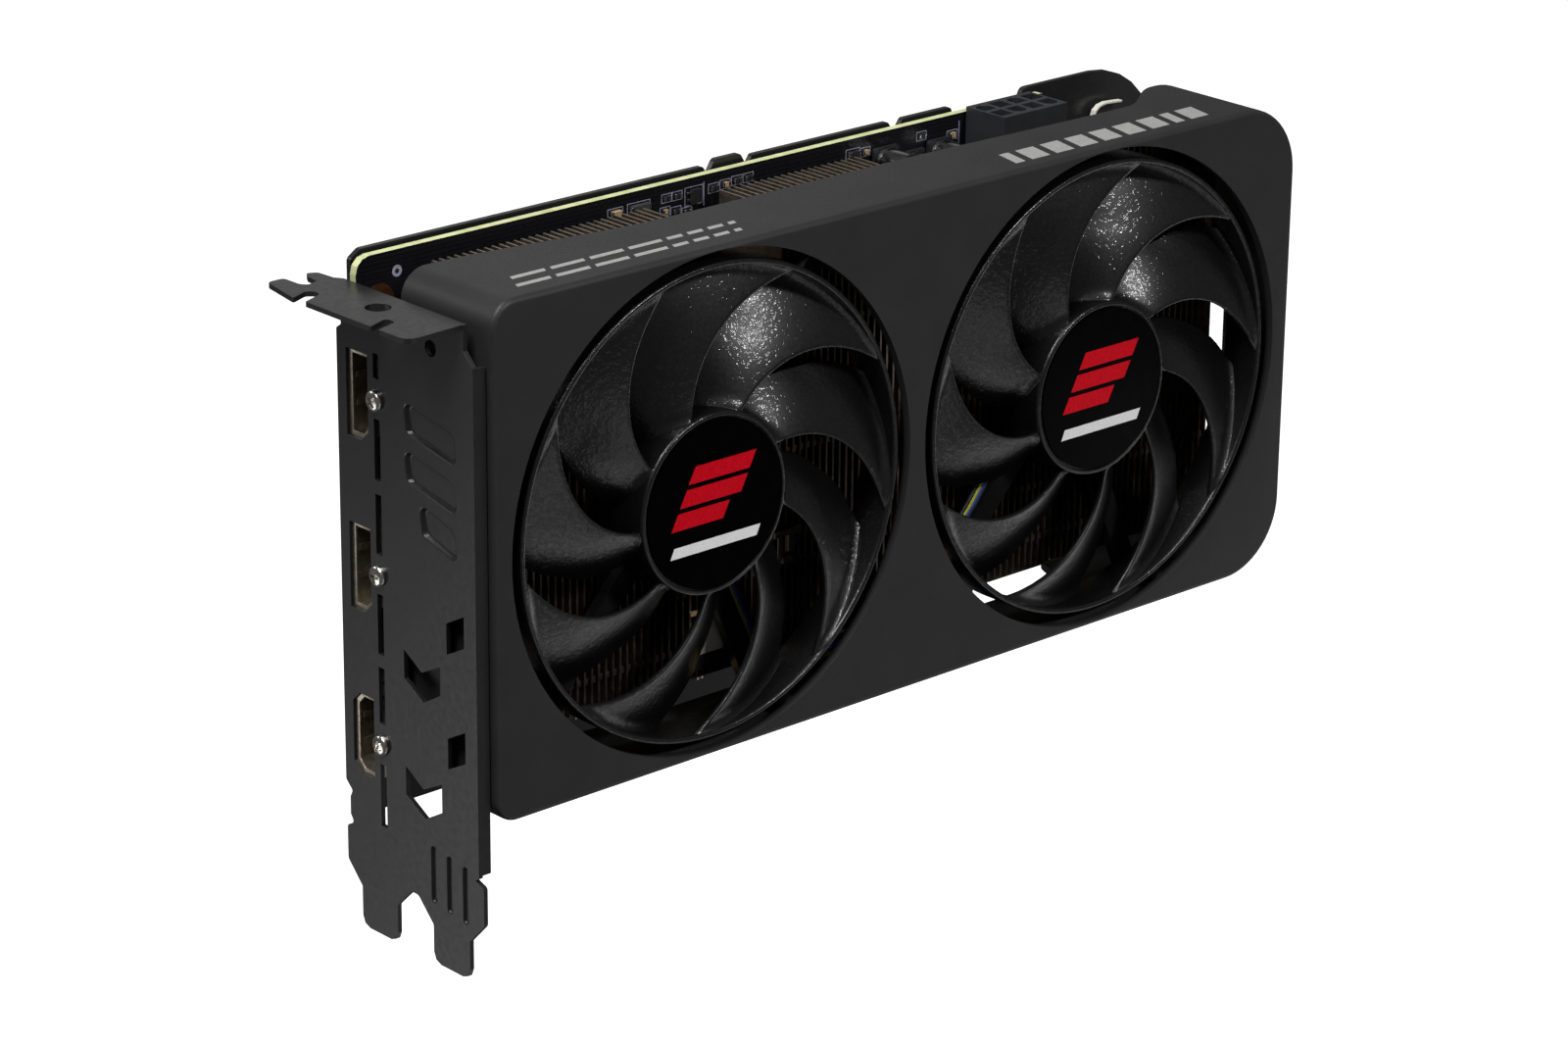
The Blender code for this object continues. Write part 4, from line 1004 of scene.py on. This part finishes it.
SMALL_PARTS = {                 # width, height, how far it stands up and kind: centres (x, z)
    (1.5, 0.8, 0.5, "dark"): [(71.4, 57.6), (73.9, 57.6), (73.6, 54.8), (76.2, 54.2)],
    (1.5, 0.8, 0.5, "tan"): [(71.0, 55.2)],
    (1.6, 0.9, 0.5, "dark"): [(134.6, 57.6)],
    (1.6, 0.9, 0.6, "dark"): [(82.6, 57.4), (88.2, 57.8), (91.0, 57.8), (66.0, 52.0)],
    (1.6, 0.9, 0.6, "tan"): [(85.4, 57.6), (66.5, 48.0), (120.2, 57.2), (10.0, 20.6)],
    (1.8, 1.0, 0.6, "dark"): [(156.0, -12.0)],
    (1.8, 1.0, 0.6, "tan"): [(142.6, 56.4), (156.0, 8.0)],
    (2.0, 1.2, 0.8, "tan"): [(124.0, 30.0), (124.0, 26.0)],
    (2.2, 1.3, 0.8, "tan"): [(142.6, 53.0)],
    (2.4, 1.4, 0.9, "tan"): [(69.0, 51.0)],
    (2.6, 1.3, 0.9, "tan"): [(59.3, 57.0)],
    (2.6, 1.5, 0.9, "dark"): [(117.0, 57.2)],
    (4.4, 2.0, 1.0, "grey"): [(64.8, 56.8)],
    (6.0, 4.0, 1.2, "grey"): [(150.0, 20.0)],
    (2.2, 2.6, 0.9, "legs"): [(77.9, 56.9)],
    (3.0, 3.0, 1.0, "legs"): [(150.0, 5.0)],
    (3.0, 3.2, 0.9, "legs"): [(73.5, 50.5)],
    (3.6, 3.6, 1.0, "legs"): [(118.0, 40.0), (123.0, 40.0), (118.0, 28.0), (119.0, 16.0), (119.0, 4.0), (119.0, -8.0)],
    (4.2, 5.2, 1.0, "legs"): [(142.0, 36.0 - 10.0 * row) for row in range(5)],
}


def board_details():
    """Small parts, printed lines, pads and edge contacts, and the pale strip beyond the board's end."""
    parts = bmesh.new()
    lines = bmesh.new()
    for (wide, tall, high, kind), spots in SMALL_PARTS.items():
        for x, z in spots:
            add_chip(parts, x, z, wide, tall, high, kind)
            add_frame(lines, x, z, wide + (2.2 if kind == "legs" else 1.0), tall + 0.9)
    for z in (52.0, 47.5):
        add_print(lines, 80.2, z, 80.36, z + 7.0)
    add_print(lines, 144.3, 46.0, 144.5, 58.8)
    chance = random.Random(11)
    for _ in range(46):
        x, z = chance.uniform(20, 150), chance.uniform(-40, -29)
        if 105 < x < 118:
            continue
        add_chip(parts, x, z, 1.5, 0.8, 0.5, chance.choice(("tan", "dark")))
    piece("small_parts", parts, [SOLDER, CERAMIC_TAN, LOOK["ferrite"], LOOK["chip_resin"]], slot="chip_resin",
          bevel_mm=0.05)
    piece("board_print", lines, [SILK], slot="board_laminate")

    pads = bmesh.new()
    face = BOARD_LOW.y
    back = BOARD_HIGH.y
    for inner, outer, near, far, sides, spot, slot in (
            (0.45, 1.05, face - 0.03, face + PRINT, 32, (10.2, 56.4), 1),
            (0, 0.45, face - 0.04, face + PRINT, 24, (10.2, 56.4), 0),
            (1.6, 3.3, face - 0.03, face + PRINT, 40, (6.2, 51.6), 2),
            (1.6, 3.0, back - PRINT, back + 0.03, 40, (6.2, 51.6), 2),
            (1.6, 3.0, back - PRINT, back + 0.03, 40, (147.0, -36.0), 2),
            (1.6, 3.0, back - PRINT, back + 0.03, 40, (20.0, -38.0), 2)):
        add_lathe(pads, [(inner, near), (outer, near), (outer, far), (inner, far)], sides, spot, slot=slot)
    for first, last in ((45.6, 55.6), (58.7, 128.8)):
        count = int(last - first) + 1
        for number in range(count):
            x = first + number
            low = BOARD_LOW.z + (1.6 if number in (0, count - 1) else 0.7)
            for y in (face, back):
                add_block(pads, (x - 0.35, y - 0.03, low), (x + 0.35, y + 0.03, BOARD_LOW.z + 7.4))
    strip = [(181.4, 52.6), (181.8, 53.9), (183.0, 54.8), (184.8, 55.1), (189.2, 54.8)]
    inside = [(189.1, 54.4), (184.8, 54.7), (183.2, 54.4), (182.2, 53.7), (181.8, 52.5)]
    ribbon = bmesh.new()
    add_prism(ribbon, strip + inside, "Y", BOARD_LOW.y + 0.4, BOARD_HIGH.y)
    piece("tail_strip", ribbon, [CREAM], slot="board_laminate", bevel_mm=0.08)
    piece("board_pads", pads, [GOLD, SILK, PAD_COPPER], slot="plated_metal")


def capacitors():
    """Can capacitors with a rolled groove, a scored top and a moulded base."""
    for number in (1, 2, 3, 4):
        name = "capacitor_%d" % number
        low, high = node_box(name)
        centre = ((low.x + high.x) / 2, (low.z + high.z) / 2)
        radius = (high.x - low.x) / 2
        can = bmesh.new()
        top = low.y
        wall = radius - 0.05
        profile = [(0, top + 0.12), (radius - 0.75, top + 0.12), (radius - 0.6, top), (radius - 0.35, top),
                   (radius - 0.1, top + 0.12), (wall, top + 0.4), (wall, high.y - 1.9), (radius - 0.3, high.y - 1.6),
                   (wall, high.y - 1.3), (wall, high.y - 0.9), (0, high.y - 0.9)]
        add_lathe(can, profile, 40, centre)
        side = radius - 0.02
        base = fillet([(centre[0] - side, centre[1] - side, 0.6), (centre[0] + side, centre[1] - side, 0.1),
                       (centre[0] + side, centre[1] + side, 0.1), (centre[0] - side, centre[1] + side, 0.6)], 3)
        add_prism(can, base, "Y", high.y - 0.85, high.y, 1)
        for turn in (0, 1, 2):
            angle = math.radians(60 * turn + 15)
            along = Vector((math.cos(angle), math.sin(angle))) * (radius * 0.5)
            across = Vector((-along.y, along.x)).normalized() * 0.07
            middle = Vector(centre)
            score = [middle - along - across, middle + along - across, middle + along + across,
                     middle - along + across]
            add_prism(can, score, "Y", top + 0.1, top + 0.14, 1)
        piece("can_%d" % number, can, [LOOK["can_aluminium"], LOOK["chip_resin"]], slot="can_aluminium",
              stands_for=[name])


def power_connector():
    """Eight cells in two rows, alternately square and chamfered, with a pin in each."""
    low, high = node_box("power_connector")
    high.z += 1.2               # the shell hides the board's edge behind it
    shell = bmesh.new()
    add_block(shell, low, high)
    pins = bmesh.new()
    half = 1.68
    for column in range(4):
        for row in range(2):
            x = (low.x + high.x) / 2 + 4.15 * (column - 1.5)
            y = (low.y + high.y) / 2 + 4.5 * (row - 0.5)
            chamfered = (column + row) % 2
            sign = 2 * row - 1
            near = y + half * sign
            outline = [(x - half, y - half * sign), (x + half, y - half * sign), (x + half, near), (x - half, near)]
            if chamfered:
                outline[2:] = [(x + half, near - sign), (x + half - 1, near), (x - half + 1, near),
                               (x - half, near - sign)]
            cell = bmesh.new()
            add_prism(cell, outline, "Z", low.z + 4, high.z + 1)
            shell = cut_out(shell, cell)
            add_block(pins, (x - 0.6, y - 0.6, low.z + 3.5), (x + 0.6, y + 0.6, high.z - 5.2))
    piece("power_shell", shell, slot="connector_plastic", stands_for=["power_connector"],
          bevel_mm=0.18, segments=3)
    piece("power_pins", pins, slot="plated_metal", bevel_mm=0.2)


def rear_details():
    """Screw heads and printed bars on the rear plate."""
    back = REAR_BACK
    lines = bmesh.new()
    for number in range(5):
        x = 20.0 + 7.0 * number
        outline = [(x, -20.0), (x + 2.0, -20.0), (x + 12.0, 10.0), (x + 10.0, 10.0)]
        add_prism(lines, outline, "Y", back - 0.1, back + 0.02)
    piece("rear_marks", lines, [GREY_INK], slot="black_steel")
    heads = bmesh.new()
    for x, z in ((8.0, 54.0), (8.0, -36.0), (140.0, 50.0), (140.0, -36.0), (64.0, 54.0), (64.0, -34.0)):
        add_lathe(heads, [(0, back - 0.2), (2.6, back - 0.2), (2.6, back + PRINT), (2.2, back + 0.08),
                          (0, back + 0.1)], 32, (x, z))
    piece("rear_screws", heads, slot="plated_metal")
    soften("rear_plate", 0.15, 3)


def plain_nodes():
    """Rounds the edges of the CAD nodes that keep their shape."""
    for side in FAN:
        for name, width in (("frame", 0.25), ("header", 0.2), ("magnet", 0.1), ("stator", 0.4), ("bearing", 0.1),
                            ("shaft", 0.15)):
            soften("fan_%s_%s" % (name, side), width)
    for number in range(1, 6):
        soften("choke_%d" % number, 0.25, 3)
    for number in range(1, 5):
        soften("cooler_screw_%d" % number, 0.15)
        soften("memory_chip_%d" % number, 0.08)
    for name in ("gpu_substrate", "gpu_die", "cold_plate", "thermal_pad_side", "thermal_pad_top", "circuit_board"):
        soften(name, 0.06)


# ------------------------------
# Stage


LIGHT_DISTANCE = 1.2
SOFTBOXES = (                   # name, azimuth from the front towards the tail, elevation, watts, side in metres
    ("key_softbox", -70, 54, 10.0, 0.4), ("top_softbox", -100, 72, 5.5, 0.4),
    ("left_low_softbox", -123, -30, 1.9, 0.55), ("right_low_softbox", 90, -30, 1.2, 0.55),
    ("front_low_softbox", 0, -30, 0.65, 0.55), ("front_right_low_softbox", 60, -30, 0.55, 0.55),
    ("under_softbox", 0, -60, 0.75, 0.55), ("under_right_softbox", 60, -60, 0.7, 0.55),
    ("back_right_softbox", 150, 30, 0.45, 0.55), ("front_softbox", 11, 37, 5.6, 0.17),
    ("rim_softbox", -143, 28, 1.3, 0.3))
FLOOR_DROP = 260.0              # far enough below the card for its shadow to fall outside the picture
CAMERA_PLACE = (-0.48559, -0.62586, 0.3098)
CAMERA_TURNS = (42.447, 20.298, 0.621)          # azimuth, dip and roll in degrees
FOCAL_LENGTH = 113.19


def stage():
    """A plain pale floor, soft lights and the camera."""
    floor = bmesh.new()
    drop = CAD_BOX[0].z / MM - FLOOR_DROP
    add_block(floor, (-9000, -9000, drop - 20), (9000, 9000, drop))
    mesh = to_mesh(floor, "floor")
    mesh.transform(Matrix.Scale(MM, 4))
    ground = bpy.data.objects.new("floor", mesh)
    bpy.context.scene.collection.objects.link(ground)
    pale = bpy.data.materials.new("floor_look")
    pale.use_nodes = True
    shader = pale.node_tree.nodes["Principled BSDF"]
    shader.inputs["Base Color"].default_value = (0.9, 0.9, 0.9, 1)
    shader.inputs["Roughness"].default_value = 0.9
    shader.inputs["Emission Color"].default_value = (1, 1, 1, 1)
    shader.inputs["Emission Strength"].default_value = 0.9
    mesh.materials.append(pale)
    ground.visible_glossy = False
    ground.visible_diffuse = False

    world = bpy.data.worlds.new("world")
    bpy.context.scene.world = world
    world.use_nodes = True
    backdrop = world.node_tree.nodes["Background"]
    backdrop.inputs["Color"].default_value = (1, 1, 1, 1)
    backdrop.inputs["Strength"].default_value = 0.1

    target = (CAD_BOX[0] + CAD_BOX[1]) / 2
    for name, azimuth, elevation, power, size in SOFTBOXES:
        turn, rise = math.radians(azimuth), math.radians(elevation)
        away = Vector((math.sin(turn) * math.cos(rise), -math.cos(turn) * math.cos(rise), math.sin(rise)))
        light = bpy.data.lights.new(name, "AREA")
        light.shape = "SQUARE"
        light.size = size
        light.energy = power
        made = bpy.data.objects.new(name, light)
        made.location = target + away * LIGHT_DISTANCE
        made.rotation_euler = away.to_track_quat("Z", "Y").to_euler()
        bpy.context.scene.collection.objects.link(made)

    lens = bpy.data.cameras.new("camera")
    camera = bpy.data.objects.new("camera", lens)
    bpy.context.scene.collection.objects.link(camera)
    lens.sensor_width = 36.0
    lens.sensor_fit = "HORIZONTAL"
    lens.lens = FOCAL_LENGTH
    lens.clip_start = 0.01
    lens.clip_end = 50.0
    azimuth, dip, roll = (math.radians(turn) for turn in CAMERA_TURNS)
    forward = Vector((math.sin(azimuth) * math.cos(dip), math.cos(azimuth) * math.cos(dip), -math.sin(dip)))
    right = forward.cross(Vector((0, 0, 1))).normalized()
    up = right.cross(forward)
    across = right * math.cos(roll) + up * math.sin(roll)
    upward = up * math.cos(roll) - right * math.sin(roll)
    turn = Matrix((across, upward, -forward)).transposed().to_4x4()
    camera.matrix_world = Matrix.Translation(Vector(CAMERA_PLACE)) @ turn
    bpy.context.scene.camera = camera
    bpy.context.scene.view_settings.view_transform = "Standard"
    bpy.context.scene.view_settings.look = "None"


stage()
cooler_cover()
cover_marks()
for fan_side in FAN:
    fan_rotor(fan_side)
    label(fan_side)
    fan_wires(fan_side)
heatsink()
bracket_details()
board_details()
capacitors()
power_connector()
rear_details()
plain_nodes()
